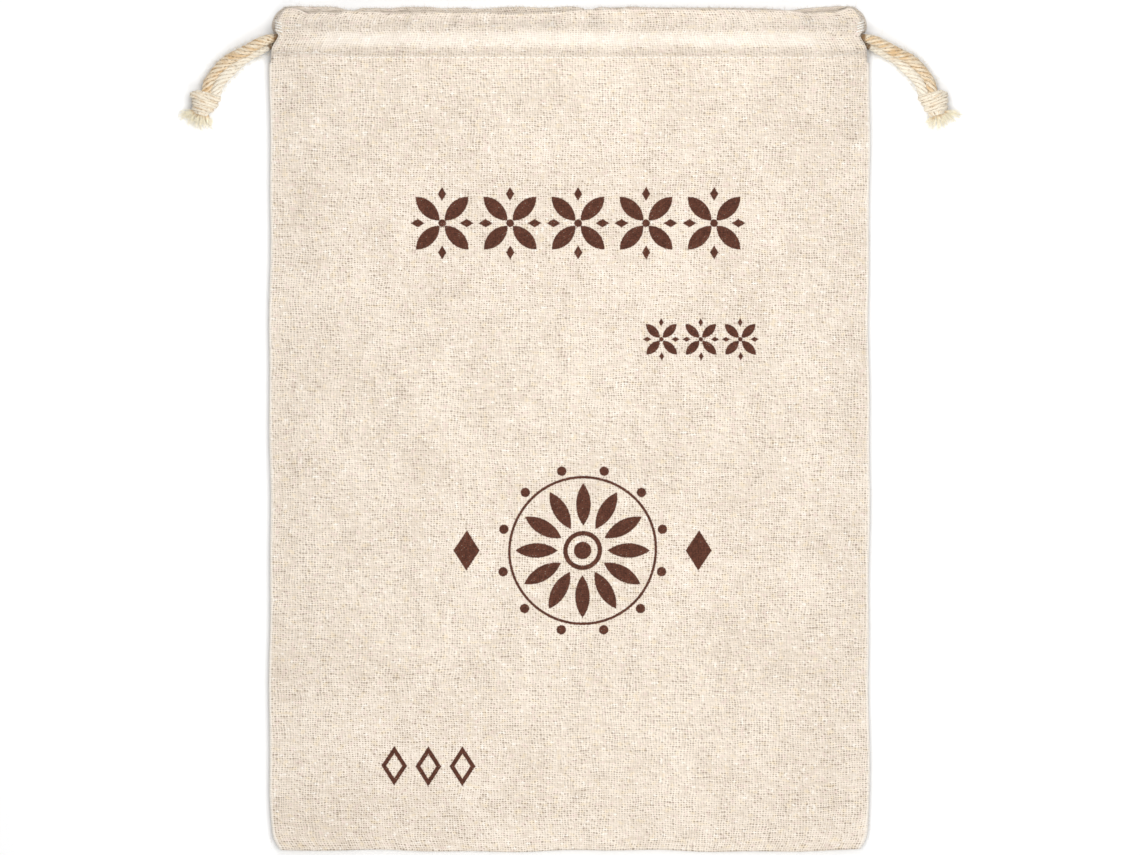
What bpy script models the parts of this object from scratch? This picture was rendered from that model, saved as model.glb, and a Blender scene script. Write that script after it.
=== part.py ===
"""A linen drawstring bread bag, lying on its back with its front face up and its mouth towards +Y.

Two cloth panels are sewn along both sides and the bottom, with the seam allowances turned inside.
The top of each panel is folded over and stitched down as a channel. Two cotton cords run through
both channels. Each comes out at one side, where its two ends are knotted together and fray.

All sizes are in millimetres, and MM turns them into metres where a mesh is made.
"""

import math

import bmesh
import bpy
import numpy as np
from mathutils import Vector

MM = 0.001

# The bag as it lies
BAG_WIDTH = 300.0
BAG_LENGTH = 422.0
CLOTH = 1.0

# Side and bottom seams: each panel rolls over at the edge into an allowance inside the bag
ROLL_RADIUS = 0.8
ROLL_STEPS = 4
ALLOWANCE = 8.0
SEAM_TOP = 183.0
FRONT_EDGE_HEIGHT = 5.0
FRONT_BODY_HEIGHT = 7.0
EDGE_SLOPE = 30.0
RAMP_START = 120.0

# The grid of a panel: fine beside an edge and coarse in the middle
EDGE_STEPS = (0.0, 2.5, 6.0, 12.0, 22.0)
COARSE_STEP = 26.0

# The channel at the mouth, measured down from the back panel's top edge
STITCH_BELOW_TOP = 25.0
FRONT_SHORTER = 2.2
FOLD_RADIUS = 1.0
FOLD_STEPS = 4
FOLD_SIDE_INSETS = (6.0, 8.0, 10.0, 12.0, 14.0)
HEM_SIDE_INSET = 28.0

# A channel's bulging layer, over the two cords that lie in it
CHANNEL_RISE = {
    "below_top": (6.0, 8.6, 10.2, 11.6, 13.6, 16.5, 19.4, 21.5, 22.7, 24.0, 25.0, 26.5),
    "rise": (2.0, 2.9, 4.2, 5.4, 6.15, 6.0, 6.15, 5.4, 3.6, 1.8, 1.3, 1.3),
}
FLAT_LAYER_ROWS = (8.6, 16.5, 25.0, 26.5)

# The front channel's inner layer over the width, level in the middle and low at the sides
CHANNEL_LEVEL = {
    "from_middle": (0.0, 76.0, 101.4, 126.7, 136.7, 142.7, 150.0),
    "height": (12.5, 12.5, 11.6, 8.6, 6.8, 5.4, 3.7),
}
SIDE_RISE = {"from_middle": (121.0, 150.0), "times": (1.0, 1.25)}

# How far the outline stands in from the straight side, at the mouth and at the bottom corners
MOUTH_OUTLINE = {
    "below_top": (0.0, 2.5, 5.5, 9.5, 12.5, 14.5, 20.0, 25.0),
    "inset": (7.0, 2.5, 0.5, 0.0, 1.0, 4.0, 0.5, 0.0),
}
BOTTOM_OUTLINE = {
    "above_bottom": (0.0, 1.0, 3.0, 5.0, 7.5, 16.0, 25.0),
    "inset": (4.5, 4.0, 2.5, 1.5, 1.0, 0.4, 0.0),
}
CORNER_LIFT = {"from_side": (0.0, 2.5, 6.0, 12.0), "lift": (1.0, 0.5, 0.2, 0.0)}

# Soft waves of the cut edges and of the front sheet
SIDE_WAVES = {"length": (170.0, 61.0), "height": (0.35, 0.2)}
BOTTOM_WAVES = {"length": (130.0, 47.0), "height": (0.45, 0.25)}
BOTTOM_WAVE_REACH = 80.0
SEAM_PHASE = 0.4
MOUTH_WAVES = {"length": (83.0, 36.0), "height": (0.4, 0.25)}
MOUTH_WAVE_START = 200.0
FRONT_MOUTH_PHASE = 0.4
BACK_MOUTH_PHASE = 1.7
SHEET_WAVES = {"along_x": (150.0, 96.0), "along_y": (118.0, 190.0), "height": (0.2, 0.15)}

# The cords: pressed flatter in the channels than where they lie free
HELD_DIAMETER = 4.2
FREE_DIAMETER = 5.5
BACK_CORD_HEIGHT = 3.5
CORD_ABOVE_LEVEL = 3.0
RUN_Y = {"left": 191.6, "right": 197.4}
TURN_START = 124.4
TWIST_LENGTH = 17.0
ROUTE_FINENESS = 24
STRAND_SPACING = FREE_DIAMETER / 3
HELD_SPACING = 2.1 * HELD_DIAMETER
PLIES = 3
PLY_DEPTH = 0.34

# A free end's route, from inside the channel's end to the knot, on the left side of the bag
FRONT_STRAND = (
    (-143.2, 194.6, 8.5),
    (-147.8, 194.8, 7.9),
    (-154.8, 193.2, 6.9),
    (-162.9, 189.4, 6.1),
    (-168.0, 187.1, 5.0),
    (-172.4, 184.3, 3.8),
    (-176.6, 180.0, 3.0),
    (-179.8, 175.6, 3.4),
    (-181.2, 172.8, 4.2),
    (-181.9, 170.2, 4.7),
)
BACK_STRAND = (
    (-143.2, 190.7, 4.2),
    (-148.0, 190.3, 4.1),
    (-153.0, 189.0, 3.4),
    (-158.3, 186.7, 2.9),
    (-163.4, 183.1, 2.8),
    (-167.6, 179.0, 2.8),
    (-171.2, 175.6, 3.2),
    (-173.9, 172.0, 4.0),
    (-175.3, 168.3, 4.8),
)

# The knot: wound turns from its wide top, where the cords go in, to its narrow end
KNOT_TOP = (-181.0, 168.6, 5.7)
KNOT_END = (-184.4, 156.6, 5.2)
KNOT_SECTIONS = {
    "down": (0.0, 0.06, 0.2, 0.4, 0.6, 0.8, 0.94, 1.0),
    "half_width": (4.2, 6.6, 7.9, 7.7, 7.0, 6.0, 4.8, 3.6),
    "half_height": (2.9, 4.3, 5.0, 5.0, 4.8, 4.3, 3.6, 2.6),
}
KNOT_RINGS = 18
KNOT_SIDES = 20
KNOT_TURNS = 2.4
KNOT_RIDGE = 0.45

# The frayed ends: locks that fan out from a short stub below the knot and lie on the surface
STUB_BELOW_KNOT = 0.45
STUB_LENGTH = 2.2
STUB_DROP = 0.45
STUB_NECK = 0.8
STUB_HALF_WIDTH = 4.4
STUB_HALF_HEIGHT = 2.5
LOCKS_ACROSS = 6
LOCKS_HIGH = 3
LOCK_GAP = 0.16
LOCK_STEPS = 3
LOCK_REACH = 6.2
LOCK_FAN = (-7.2, 3.6)
LOCK_REST = 0.3
LOCK_LAYER = 0.9
LOCK_TAPER = 0.6

LINEN = (0.82, 0.71, 0.58)
COTTON = (0.87, 0.79, 0.63)


def clear_scene():
    for obj in list(bpy.data.objects):
        bpy.data.objects.remove(obj, do_unlink=True)


def cloth_material(name, colour, roughness):
    material = bpy.data.materials.new(name)
    material.use_nodes = True
    shader = material.node_tree.nodes["Principled BSDF"]
    shader.inputs["Base Color"].default_value = (*colour, 1.0)
    shader.inputs["Roughness"].default_value = roughness
    shader.inputs["Metallic"].default_value = 0.0
    return material


def object_from(mesh, name, material):
    mesh.materials.append(material)
    mesh.shade_smooth()
    obj = bpy.data.objects.new(name, mesh)
    bpy.context.scene.collection.objects.link(obj)
    return obj


def smooth(t):
    t = min(max(t, 0.0), 1.0)
    return t * t * (3.0 - 2.0 * t)


def read(table, at):
    """The table's second column, read at a place along its first."""
    places, values = table.values()
    return float(np.interp(at, places, values))


def wave(table, at, phase):
    lengths, heights = table.values()
    turns = zip(lengths, heights, (phase, 2.0 * phase + 1.0))
    return sum(h * math.sin(2.0 * math.pi * at / length + p) for length, h, p in turns)


def stations(start, end):
    """Grid lines from start to end, close together beside both."""
    span = end - start
    middle = span - 2.0 * EDGE_STEPS[-1]
    count = round(middle / COARSE_STEP)
    inner = [EDGE_STEPS[-1] + middle * i / count for i in range(1, count)]
    near = list(EDGE_STEPS)
    far = [span - step for step in reversed(EDGE_STEPS)]
    return [start + at for at in near + inner + far]


def channel_level(x):
    return read(CHANNEL_LEVEL, abs(x))


def front_sheet_height(x, y):
    """The middle of the front panel's cloth below the channel."""
    from_side = BAG_WIDTH / 2 - abs(x)
    from_bottom = y + BAG_LENGTH / 2
    crown = smooth(from_side / EDGE_SLOPE) * smooth(from_bottom / EDGE_SLOPE)
    body = FRONT_EDGE_HEIGHT + (FRONT_BODY_HEIGHT - FRONT_EDGE_HEIGHT) * crown
    for along_x, along_y, height in zip(*SHEET_WAVES.values()):
        body += height * crown * math.sin(2.0 * math.pi * (x / along_x + y / along_y))
    stitch_y = BAG_LENGTH / 2 - STITCH_BELOW_TOP
    ramp = smooth((y - RAMP_START) / (stitch_y - RAMP_START))
    at_stitch = channel_level(x) + read(CHANNEL_RISE, STITCH_BELOW_TOP)
    return body + (at_stitch - body) * ramp


def front_rows(body_rows):
    """Rows of the front panel: its y, the side inset and the height of the cloth's middle at an x."""
    top = BAG_LENGTH / 2
    fold_y = top - FRONT_SHORTER - FOLD_RADIUS - CLOTH / 2
    rows = [(y, None, front_sheet_height) for y in body_rows]

    def bulge(rise):
        return lambda x, y: channel_level(x) + rise * read(SIDE_RISE, abs(x))

    for below, rise in reversed(list(zip(*CHANNEL_RISE.values()))):
        rows.append((top - below, read(MOUTH_OUTLINE, below), bulge(rise)))
    for step, inset in enumerate(FOLD_SIDE_INSETS):
        turn = math.pi * step / FOLD_STEPS
        y = fold_y + FOLD_RADIUS * math.sin(turn)
        rows.append((y, inset, bulge(FOLD_RADIUS * (1.0 + math.cos(turn)))))
    for below in FLAT_LAYER_ROWS:
        rows.append((top - below, HEM_SIDE_INSET, bulge(0.0)))
    return rows


def back_rows(body_rows):
    """Rows of the back panel, whose outer layer lies flat on the surface."""
    top = BAG_LENGTH / 2
    fold_y = top - FOLD_RADIUS - CLOTH / 2
    rows = [(y, None, lambda x, y: CLOTH / 2) for y in body_rows]

    def level(rise):
        return lambda x, y: CLOTH / 2 + rise

    for below in reversed(FLAT_LAYER_ROWS):
        rows.append((top - below, read(MOUTH_OUTLINE, below), level(0.0)))
    for step, inset in enumerate(FOLD_SIDE_INSETS):
        turn = math.pi * step / FOLD_STEPS
        y = fold_y + FOLD_RADIUS * math.sin(turn)
        rows.append((y, inset, level(FOLD_RADIUS * (1.0 - math.cos(turn)))))
    for below, rise in zip(*CHANNEL_RISE.values()):
        rows.append((top - below, HEM_SIDE_INSET, level(rise)))
    return rows


def panel_point(column, y, inset, height, mouth_phase):
    """One grid point of a panel, with column from -1 at the left edge to 1 at the right."""
    edge = BAG_WIDTH / 2 - ROLL_RADIUS - CLOTH / 2
    from_bottom = y + BAG_LENGTH / 2 - ROLL_RADIUS - CLOTH / 2
    if inset is None:
        inset = read(BOTTOM_OUTLINE, from_bottom)
    left = -(edge + wave(SIDE_WAVES, y, SEAM_PHASE) - inset)
    right = edge + wave(SIDE_WAVES, y, SEAM_PHASE + 2.0) - inset
    x = left + (right - left) * (column + 1.0) / 2
    near_bottom = 1.0 - smooth(from_bottom / BOTTOM_WAVE_REACH)
    near_mouth = smooth((y - MOUTH_WAVE_START) / (BAG_LENGTH / 2 - MOUTH_WAVE_START))
    lift = read(CORNER_LIFT, edge - abs(x)) + wave(BOTTOM_WAVES, x, SEAM_PHASE)
    shift = near_bottom * lift + near_mouth * wave(MOUTH_WAVES, x, mouth_phase)
    return Vector((x, y + shift, height(x, y)))


def corner_share(distance):
    """How much a rim point beside a corner follows that corner's slant."""
    return max(0.0, 1.0 - distance / EDGE_STEPS[-1])


def panel(name, rows_of, roll, mouth_phase, material):
    """A panel with its channel and its allowances. Its edges roll down with roll -1 and up with +1."""
    edge = BAG_WIDTH / 2 - ROLL_RADIUS - CLOTH / 2
    bottom = -BAG_LENGTH / 2 + ROLL_RADIUS + CLOTH / 2
    columns = [x / edge for x in stations(-edge, edge)]
    body_rows = stations(bottom, SEAM_TOP)
    rows = rows_of(body_rows)
    bm = bmesh.new()
    grid = []
    for y, inset, height in rows:
        points = [panel_point(column, y, inset, height, mouth_phase) for column in columns]
        grid.append([bm.verts.new(point * MM) for point in points])
    for lower, upper in zip(grid, grid[1:]):
        for i in range(len(columns) - 1):
            bm.faces.new((lower[i], lower[i + 1], upper[i + 1], upper[i]))

    # The rim runs down the left side, along the bottom and up the right side
    loop = []
    for row, y in reversed(list(zip(grid, body_rows))[1:]):
        loop.append((row[0], -1.0, -corner_share(y - bottom)))
    for i, vert in enumerate(grid[0]):
        from_left = (columns[i] + 1.0) * edge
        slant = corner_share(2.0 * edge - from_left) - corner_share(from_left)
        loop.append((vert, slant, -1.0))
    for row, y in list(zip(grid, body_rows))[1:]:
        loop.append((row[-1], 1.0, -corner_share(y - bottom)))

    turns = [math.pi * step / ROLL_STEPS for step in range(1, ROLL_STEPS + 1)]
    profile = [(ROLL_RADIUS * math.sin(t), ROLL_RADIUS * (1.0 - math.cos(t))) for t in turns]
    profile.append((-ALLOWANCE / 2, 2.0 * ROLL_RADIUS))
    profile.append((-ALLOWANCE, 2.0 * ROLL_RADIUS))
    ring = [vert for vert, _, _ in loop]
    for out, rise in profile:
        offsets = [Vector((ox * out, oy * out, roll * rise)) for _, ox, oy in loop]
        starts = [vert.co for vert, _, _ in loop]
        following = [bm.verts.new(at + offset * MM) for at, offset in zip(starts, offsets)]
        for i in range(len(ring) - 1):
            bm.faces.new((ring[i], following[i], following[i + 1], ring[i + 1]))
        ring = following
    mesh = bpy.data.meshes.new(name)
    bm.to_mesh(mesh)
    bm.free()
    obj = object_from(mesh, name, material)
    thickness = obj.modifiers.new("Cloth thickness", "SOLIDIFY")
    thickness.thickness = CLOTH * MM
    thickness.offset = 0.0
    thickness.use_even_offset = True
    thickness.use_quality_normals = True
    return obj


def smooth_route(points, spacing):
    """Points along a smooth curve through the route's own points, about spacing apart."""
    route = [Vector(point) for point in points]
    route = [2.0 * route[0] - route[1], *route, 2.0 * route[-1] - route[-2]]
    fine = []
    for a, b, c, d in zip(route, route[1:], route[2:], route[3:]):
        for step in range(ROUTE_FINENESS):
            t = step / ROUTE_FINENESS
            fine.append(0.5 * (2.0 * b + (c - a) * t + (2.0 * a - 5.0 * b + 4.0 * c - d) * t**2
                               + (3.0 * b - a - 3.0 * c + d) * t**3))
    fine.append(route[-2])
    lengths = np.cumsum([0.0] + [(q - p).length for p, q in zip(fine, fine[1:])])
    count = round(lengths[-1] / spacing)
    wanted = np.linspace(0.0, lengths[-1], count + 1)
    axes = [np.interp(wanted, lengths, [point[axis] for point in fine]) for axis in range(3)]
    return [Vector(point) for point in zip(*axes)]


def spline_curve(name, points, material):
    """A curve object on a POLY spline through the points, in metres."""
    data = bpy.data.curves.new(name, "CURVE")
    data.dimensions = "3D"
    spline = data.splines.new("POLY")
    spline.points.add(len(points) - 1)
    for target, point in zip(spline.points, points):
        target.co = (*(point * MM), 1.0)
    spline.use_smooth = True
    data.use_fill_caps = True
    data.materials.append(material)
    obj = bpy.data.objects.new(name, data)
    bpy.context.scene.collection.objects.link(obj)
    return obj


def held_route(side):
    """A drawcord's way through the front channel, round the far end and back through the back one."""
    sign = -1.0 if side == "left" else 1.0
    run = RUN_Y[side]
    level = [(a, channel_level(a) + CORD_ABOVE_LEVEL) for a in (126.0, 118.0, 101.4, 88.0, 76.0, 60.0, 0.0)]
    front_y = FRONT_STRAND[0][1]
    back_y = BACK_STRAND[0][1]
    front = [(142.0, front_y, 8.6), (139.5, 0.9 * front_y + 0.1 * run, 9.0)]
    front += [(135.0, 0.35 * front_y + 0.65 * run, 9.9), (131.0, 0.08 * front_y + 0.92 * run, 10.7)]
    front += [(a, run, z) for a, z in level]
    front += [(-a, run, z) for a, z in reversed(level[1:-1])]
    top = channel_level(TURN_START) + CORD_ABOVE_LEVEL
    radius = (top - BACK_CORD_HEIGHT) / 2
    turn = []
    for step in range(7):
        angle = math.pi * step / 6
        turn.append((-TURN_START - radius * math.sin(angle), run, top - radius * (1.0 - math.cos(angle))))
    back = [(a, run, BACK_CORD_HEIGHT) for a in (-116.0, -60.0, 0.0, 60.0, 116.0, 126.0)]
    back += [(131.0, 0.08 * back_y + 0.92 * run, BACK_CORD_HEIGHT), (135.0, 0.4 * back_y + 0.6 * run, 3.6)]
    back += [(138.4, 0.85 * back_y + 0.15 * run, 3.9), (141.8, back_y, 4.1)]
    return [(sign * a, y, z) for a, y, z in front + turn + back]


def held_cord(name, side, material):
    cord = spline_curve(name, smooth_route(held_route(side), HELD_SPACING), material)
    cord.data.bevel_depth = HELD_DIAMETER / 2 * MM
    cord.data.bevel_resolution = 2
    return cord


def twisted_strand(name, route, sign, material):
    """A free end as a rope of plies: a lobed section that turns as it follows the route."""
    points = smooth_route([(-sign * x, y, z) for x, y, z in route], STRAND_SPACING)
    sides = 4 * PLIES
    bm = bmesh.new()
    rings = []
    along = 0.0
    across = Vector((0.0, 0.0, 1.0))
    for i, point in enumerate(points):
        ahead = (points[min(i + 1, len(points) - 1)] - points[max(i - 1, 0)]).normalized()
        across = (across - ahead * across.dot(ahead)).normalized()
        third = ahead.cross(across)
        if i:
            along += (point - points[i - 1]).length
        ring = []
        for k in range(sides):
            angle = 2.0 * math.pi * k / sides
            turn = angle * PLIES + sign * 2.0 * math.pi * PLIES * along / TWIST_LENGTH
            radius = FREE_DIAMETER / 2 - PLY_DEPTH * (1.0 - math.cos(turn)) / 2
            offset = across * math.cos(angle) + third * math.sin(angle)
            ring.append(bm.verts.new((point + offset * radius) * MM))
        rings.append(ring)
    bridge(bm, rings)
    mesh = bpy.data.meshes.new(name)
    bm.to_mesh(mesh)
    bm.free()
    return object_from(mesh, name, material)


def bridge(bm, rings):
    """Joins the rings into a closed tube with a cap at each end, facing out."""
    for first, second in zip(rings, rings[1:]):
        for k in range(len(first)):
            after = (k + 1) % len(first)
            bm.faces.new((first[k], first[after], second[after], second[k]))
    bm.faces.new(list(reversed(rings[0])))
    bm.faces.new(rings[-1])


def mirrored(point, sign):
    """A place given for the left side, kept there with sign -1 and mirrored to the right with +1."""
    return Vector((-sign * point[0], point[1], point[2]))


def knot_frame(sign):
    """The knot's top, its end, and its directions along, up and across."""
    top = mirrored(KNOT_TOP, sign)
    end = mirrored(KNOT_END, sign)
    down = (end - top).normalized()
    up = (Vector((0.0, 0.0, 1.0)) - down * down.z).normalized()
    return top, end, down, up, down.cross(up)


def knot(name, sign, material):
    """The wound body of the knot, its turns raised as ridges round it."""
    top, end, down, up, across = knot_frame(sign)
    places, widths, heights = KNOT_SECTIONS.values()
    bm = bmesh.new()
    rings = []
    for i in range(KNOT_RINGS + 1):
        t = 0.5 - 0.5 * math.cos(math.pi * i / KNOT_RINGS)
        width = np.interp(t, places, widths)
        height = np.interp(t, places, heights)
        centre = top.lerp(end, t)
        fade = smooth(min(t, 1.0 - t) / 0.12)
        ring = []
        for k in range(KNOT_SIDES):
            angle = 2.0 * math.pi * k / KNOT_SIDES
            ridge = KNOT_RIDGE * fade * math.cos(2.0 * math.pi * KNOT_TURNS * t + sign * angle)
            offset = up * (height + ridge) * math.cos(angle) + across * (width + ridge) * math.sin(angle)
            ring.append(bm.verts.new((centre + offset) * MM))
        rings.append(ring)
    bridge(bm, rings)
    bmesh.ops.recalc_face_normals(bm, faces=bm.faces)
    mesh = bpy.data.meshes.new(name)
    bm.to_mesh(mesh)
    bm.free()
    return object_from(mesh, name, material)


def lock_points(i, j, sign, root):
    """The middle line of one frayed lock, from its root down to the surface."""
    share = i / (LOCKS_ACROSS - 1)
    fan = LOCK_FAN[0] + (LOCK_FAN[1] - LOCK_FAN[0]) * share
    swing = math.sin(2.4 * i + 1.9 * j)
    reach = LOCK_REACH * (0.86 + 0.14 * swing)
    layer = LOCK_REST + LOCK_LAYER * j
    tip = root + Vector((-sign * fan, -reach, 0.0))
    tip.z = layer
    middle = root.lerp(tip, 0.5)
    middle.x += sign * 0.8 * swing
    middle.z = 0.62 * layer + 0.38 * root.z
    return [root, middle, tip]


def frayed_end(name, sign, material):
    """A stub of cord below the knot whose end face is parted into locks."""
    _, knot_end, down, up, across = knot_frame(sign)
    start = knot_end + down * STUB_BELOW_KNOT
    end = start + (down - up * STUB_DROP) * STUB_LENGTH
    bm = bmesh.new()
    rings = []
    for centre, shrink in ((start, STUB_NECK), (end, 1.0)):
        layer = []
        for j in range(LOCKS_HIGH + 1):
            for i in range(LOCKS_ACROSS + 1):
                wide = STUB_HALF_WIDTH * shrink * (2.0 * i / LOCKS_ACROSS - 1.0)
                high = STUB_HALF_HEIGHT * shrink * (2.0 * j / LOCKS_HIGH - 1.0)
                point = centre + across * sign * wide + up * high
                layer.append(bm.verts.new(point * MM))
        rings.append(layer)
    stride = LOCKS_ACROSS + 1
    cells = [(i, j) for j in range(LOCKS_HIGH) for i in range(LOCKS_ACROSS)]

    def corners(layer, i, j):
        first = j * stride + i
        return [layer[first], layer[first + 1], layer[first + stride + 1], layer[first + stride]]

    tips = {}
    for i, j in cells:
        bm.faces.new(corners(rings[0], i, j))
        tips[i, j] = bm.faces.new(list(reversed(corners(rings[1], i, j))))
    border = [(i, 0) for i in range(LOCKS_ACROSS)]
    border += [(LOCKS_ACROSS, j) for j in range(LOCKS_HIGH)]
    border += [(i, LOCKS_HIGH) for i in range(LOCKS_ACROSS, 0, -1)]
    border += [(0, j) for j in range(LOCKS_HIGH, 0, -1)]
    around = [j * stride + i for i, j in border]
    for a, b in zip(around, around[1:] + around[:1]):
        bm.faces.new((rings[0][a], rings[0][b], rings[1][b], rings[1][a]))
    bmesh.ops.recalc_face_normals(bm, faces=bm.faces)
    bmesh.ops.inset_individual(bm, faces=list(tips.values()), thickness=LOCK_GAP * MM)
    for (i, j), face in tips.items():
        route = smooth_route(lock_points(i, j, sign, face.calc_center_median() / MM), LOCK_REACH / LOCK_STEPS)
        grow_lock(bm, face, route)
    mesh = bpy.data.meshes.new(name)
    bm.to_mesh(mesh)
    bm.free()
    return object_from(mesh, name, material)


def grow_lock(bm, face, route):
    """Extrudes one lock from its face along the route, thinner towards its tip."""
    for step, point in enumerate(route[1:], start=1):
        face = bmesh.ops.extrude_discrete_faces(bm, faces=[face])["faces"][0]
        centre = face.calc_center_median()
        before = 1.0 - LOCK_TAPER * (step - 1) / (len(route) - 1)
        taper = 1.0 - LOCK_TAPER * step / (len(route) - 1)
        for vert in face.verts:
            vert.co = point * MM + (vert.co - centre) * taper / before


def build():
    linen = cloth_material("linen_cloth", LINEN, 0.9)
    cotton = cloth_material("cotton_cord", COTTON, 0.85)
    panel("front_panel", front_rows, -1.0, FRONT_MOUTH_PHASE, linen)
    panel("back_panel", back_rows, 1.0, BACK_MOUTH_PHASE, linen)
    for side, sign in (("left", -1.0), ("right", 1.0)):
        held_cord(f"drawcord_{side}", side, cotton)
        twisted_strand(f"strand_{side}_front", FRONT_STRAND, sign, cotton)
        twisted_strand(f"strand_{side}_back", BACK_STRAND, sign, cotton)
        knot(f"knot_{side}", sign, cotton)
        frayed_end(f"frayed_end_{side}", sign, cotton)


clear_scene()
build()
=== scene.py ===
"""The looks of a linen drawstring bread bag, which lies on its back with its mouth towards +Y.

The script follows the bag as it is put together: the cords with their knots and frayed ends, the
front and back panels, then the stitching and the loose fibres. Sizes are in millimetres, and MM
turns them into metres where a mesh is made.
"""

import math

import bpy
import numpy as np
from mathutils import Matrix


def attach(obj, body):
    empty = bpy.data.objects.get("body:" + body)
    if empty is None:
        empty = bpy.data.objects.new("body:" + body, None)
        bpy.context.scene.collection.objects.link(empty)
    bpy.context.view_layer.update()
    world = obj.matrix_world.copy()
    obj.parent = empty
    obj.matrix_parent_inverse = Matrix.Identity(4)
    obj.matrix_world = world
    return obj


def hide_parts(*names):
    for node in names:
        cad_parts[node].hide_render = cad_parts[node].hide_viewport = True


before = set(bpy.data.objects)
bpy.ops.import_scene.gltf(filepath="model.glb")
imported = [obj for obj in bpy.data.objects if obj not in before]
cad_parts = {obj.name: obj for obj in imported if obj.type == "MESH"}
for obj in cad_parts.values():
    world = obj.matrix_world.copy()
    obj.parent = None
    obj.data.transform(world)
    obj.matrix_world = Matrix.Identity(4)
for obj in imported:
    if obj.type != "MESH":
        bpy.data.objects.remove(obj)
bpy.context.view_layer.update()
MM = 0.001

# The studio: the camera looks straight down from far off, so the picture has almost no perspective.
# A pale table top, two soft lamps over the bag's mouth and base, and pale walls all round it light it.
PICTURE_WIDTH = 570.0
PICTURE_CENTRE = (0.25, 0.75)
LENS = 400.0
SENSOR = 36.0
TABLE_HALF = 5000.0
TABLE_DROP = 0.05
WALL_LIGHT = 0.50
LAMPS = {
    "over_mouth": {"place": (35.0, 320.0, 560.0), "power": 3.0},
    "over_base": {"place": (35.0, -295.0, 560.0), "power": 2.6},
}
LAMP_SIZE = 480.0
TABLE_GREY = (0.865, 0.865, 0.865)
WHITE = (1.0, 1.0, 1.0, 1.0)


class Wire:
    """A number in a finish. Sums, products and the like of wires add Math nodes to the finish."""

    def __init__(self, finish, socket):
        self.finish = finish
        self.socket = socket

    def math(self, operation, *others):
        return self.finish.node("Math", {"operation": operation}, dict(enumerate((self, *others))))

    def after(self, operation, other):
        return self.finish.node("Math", {"operation": operation}, {0: other, 1: self})

    def also(self, output):
        return Wire(self.finish, self.socket.node.outputs[output])

    def __add__(self, other):
        return self.math("ADD", other)

    def __sub__(self, other):
        return self.math("SUBTRACT", other)

    def __rsub__(self, other):
        return self.after("SUBTRACT", other)

    def __mul__(self, other):
        return self.math("MULTIPLY", other)

    def __truediv__(self, other):
        return self.math("DIVIDE", other)

    def __abs__(self):
        return self.math("ABSOLUTE")

    __radd__ = __add__
    __rmul__ = __mul__

    def between(self, low, high):
        """0 below low and 1 above high, with a soft step from one to the other."""
        return self.finish.node("MapRange", {"interpolation_type": "SMOOTHSTEP"}, {0: self, 1: low, 2: high})


class Finish:
    """A material on the Principled shader, and the one method that adds a node to it."""

    def __init__(self, name, **constants):
        self.material = bpy.data.materials.new(name)
        self.material.use_nodes = True
        self.tree = self.material.node_tree
        self.shader = self.tree.nodes["Principled BSDF"]
        for socket, value in constants.items():
            self.join(value, self.shader.inputs[socket.replace("_", " ")])

    def join(self, value, socket):
        if isinstance(value, Wire):
            self.tree.links.new(value.socket, socket)
        else:
            socket.default_value = (*value, 1.0) if socket.type == "RGBA" else value

    def node(self, kind, settings, values, output=0):
        made = self.tree.nodes.new("ShaderNode" + kind)
        for setting, value in settings.items():
            setattr(made, setting, value)
        for socket, value in values.items():
            self.join(value, made.inputs[socket])
        return Wire(self, made.outputs[output])

    def painted(self, colour, relief=None, strength=0.0, depth=0.0):
        """Gives the surface its colour and a fine relief, whose depth is in millimetres."""
        self.join(colour, self.shader.inputs["Base Color"])
        if relief:
            bump = self.node("Bump", {}, {"Strength": strength, "Distance": depth * MM, "Height": relief})
            self.join(bump, self.shader.inputs["Normal"])
        return self


camera_data = bpy.data.cameras.new("Camera")
camera_data.lens = LENS
camera_data.sensor_width = SENSOR
camera = bpy.data.objects.new("Camera", camera_data)
camera.location = (PICTURE_CENTRE[0] * MM, PICTURE_CENTRE[1] * MM, PICTURE_WIDTH * LENS / SENSOR * MM)
bpy.context.scene.collection.objects.link(camera)
bpy.context.scene.camera = camera
bpy.context.scene.view_settings.view_transform = "Standard"

table_mesh = bpy.data.meshes.new("table_top")
table_corners = [(x, y, -TABLE_DROP) for x, y in ((-1, -1), (1, -1), (1, 1), (-1, 1))]
table_corners = [(x * TABLE_HALF * MM, y * TABLE_HALF * MM, z * MM) for x, y, z in table_corners]
table_mesh.from_pydata(table_corners, [], [(0, 1, 2, 3)])
table_mesh.materials.append(Finish("Pale table top", Base_Color=TABLE_GREY, Roughness=0.9).material)
table_top = bpy.data.objects.new("table_top", table_mesh)
bpy.context.scene.collection.objects.link(table_top)

for lamp_name, values in LAMPS.items():
    lamp_data = bpy.data.lights.new(lamp_name, "AREA")
    lamp_data.size = LAMP_SIZE * MM
    lamp_data.energy = values["power"]
    lamp = bpy.data.objects.new(lamp_name, lamp_data)
    lamp.location = [value * MM for value in values["place"]]
    lamp.visible_camera = False
    bpy.context.scene.collection.objects.link(lamp)
walls = bpy.data.worlds.new("Pale walls")
walls.use_nodes = True
wall_paint = walls.node_tree.nodes["Background"]
wall_paint.inputs["Color"].default_value = WHITE
wall_paint.inputs["Strength"].default_value = WALL_LIGHT
bpy.context.scene.world = walls

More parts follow.
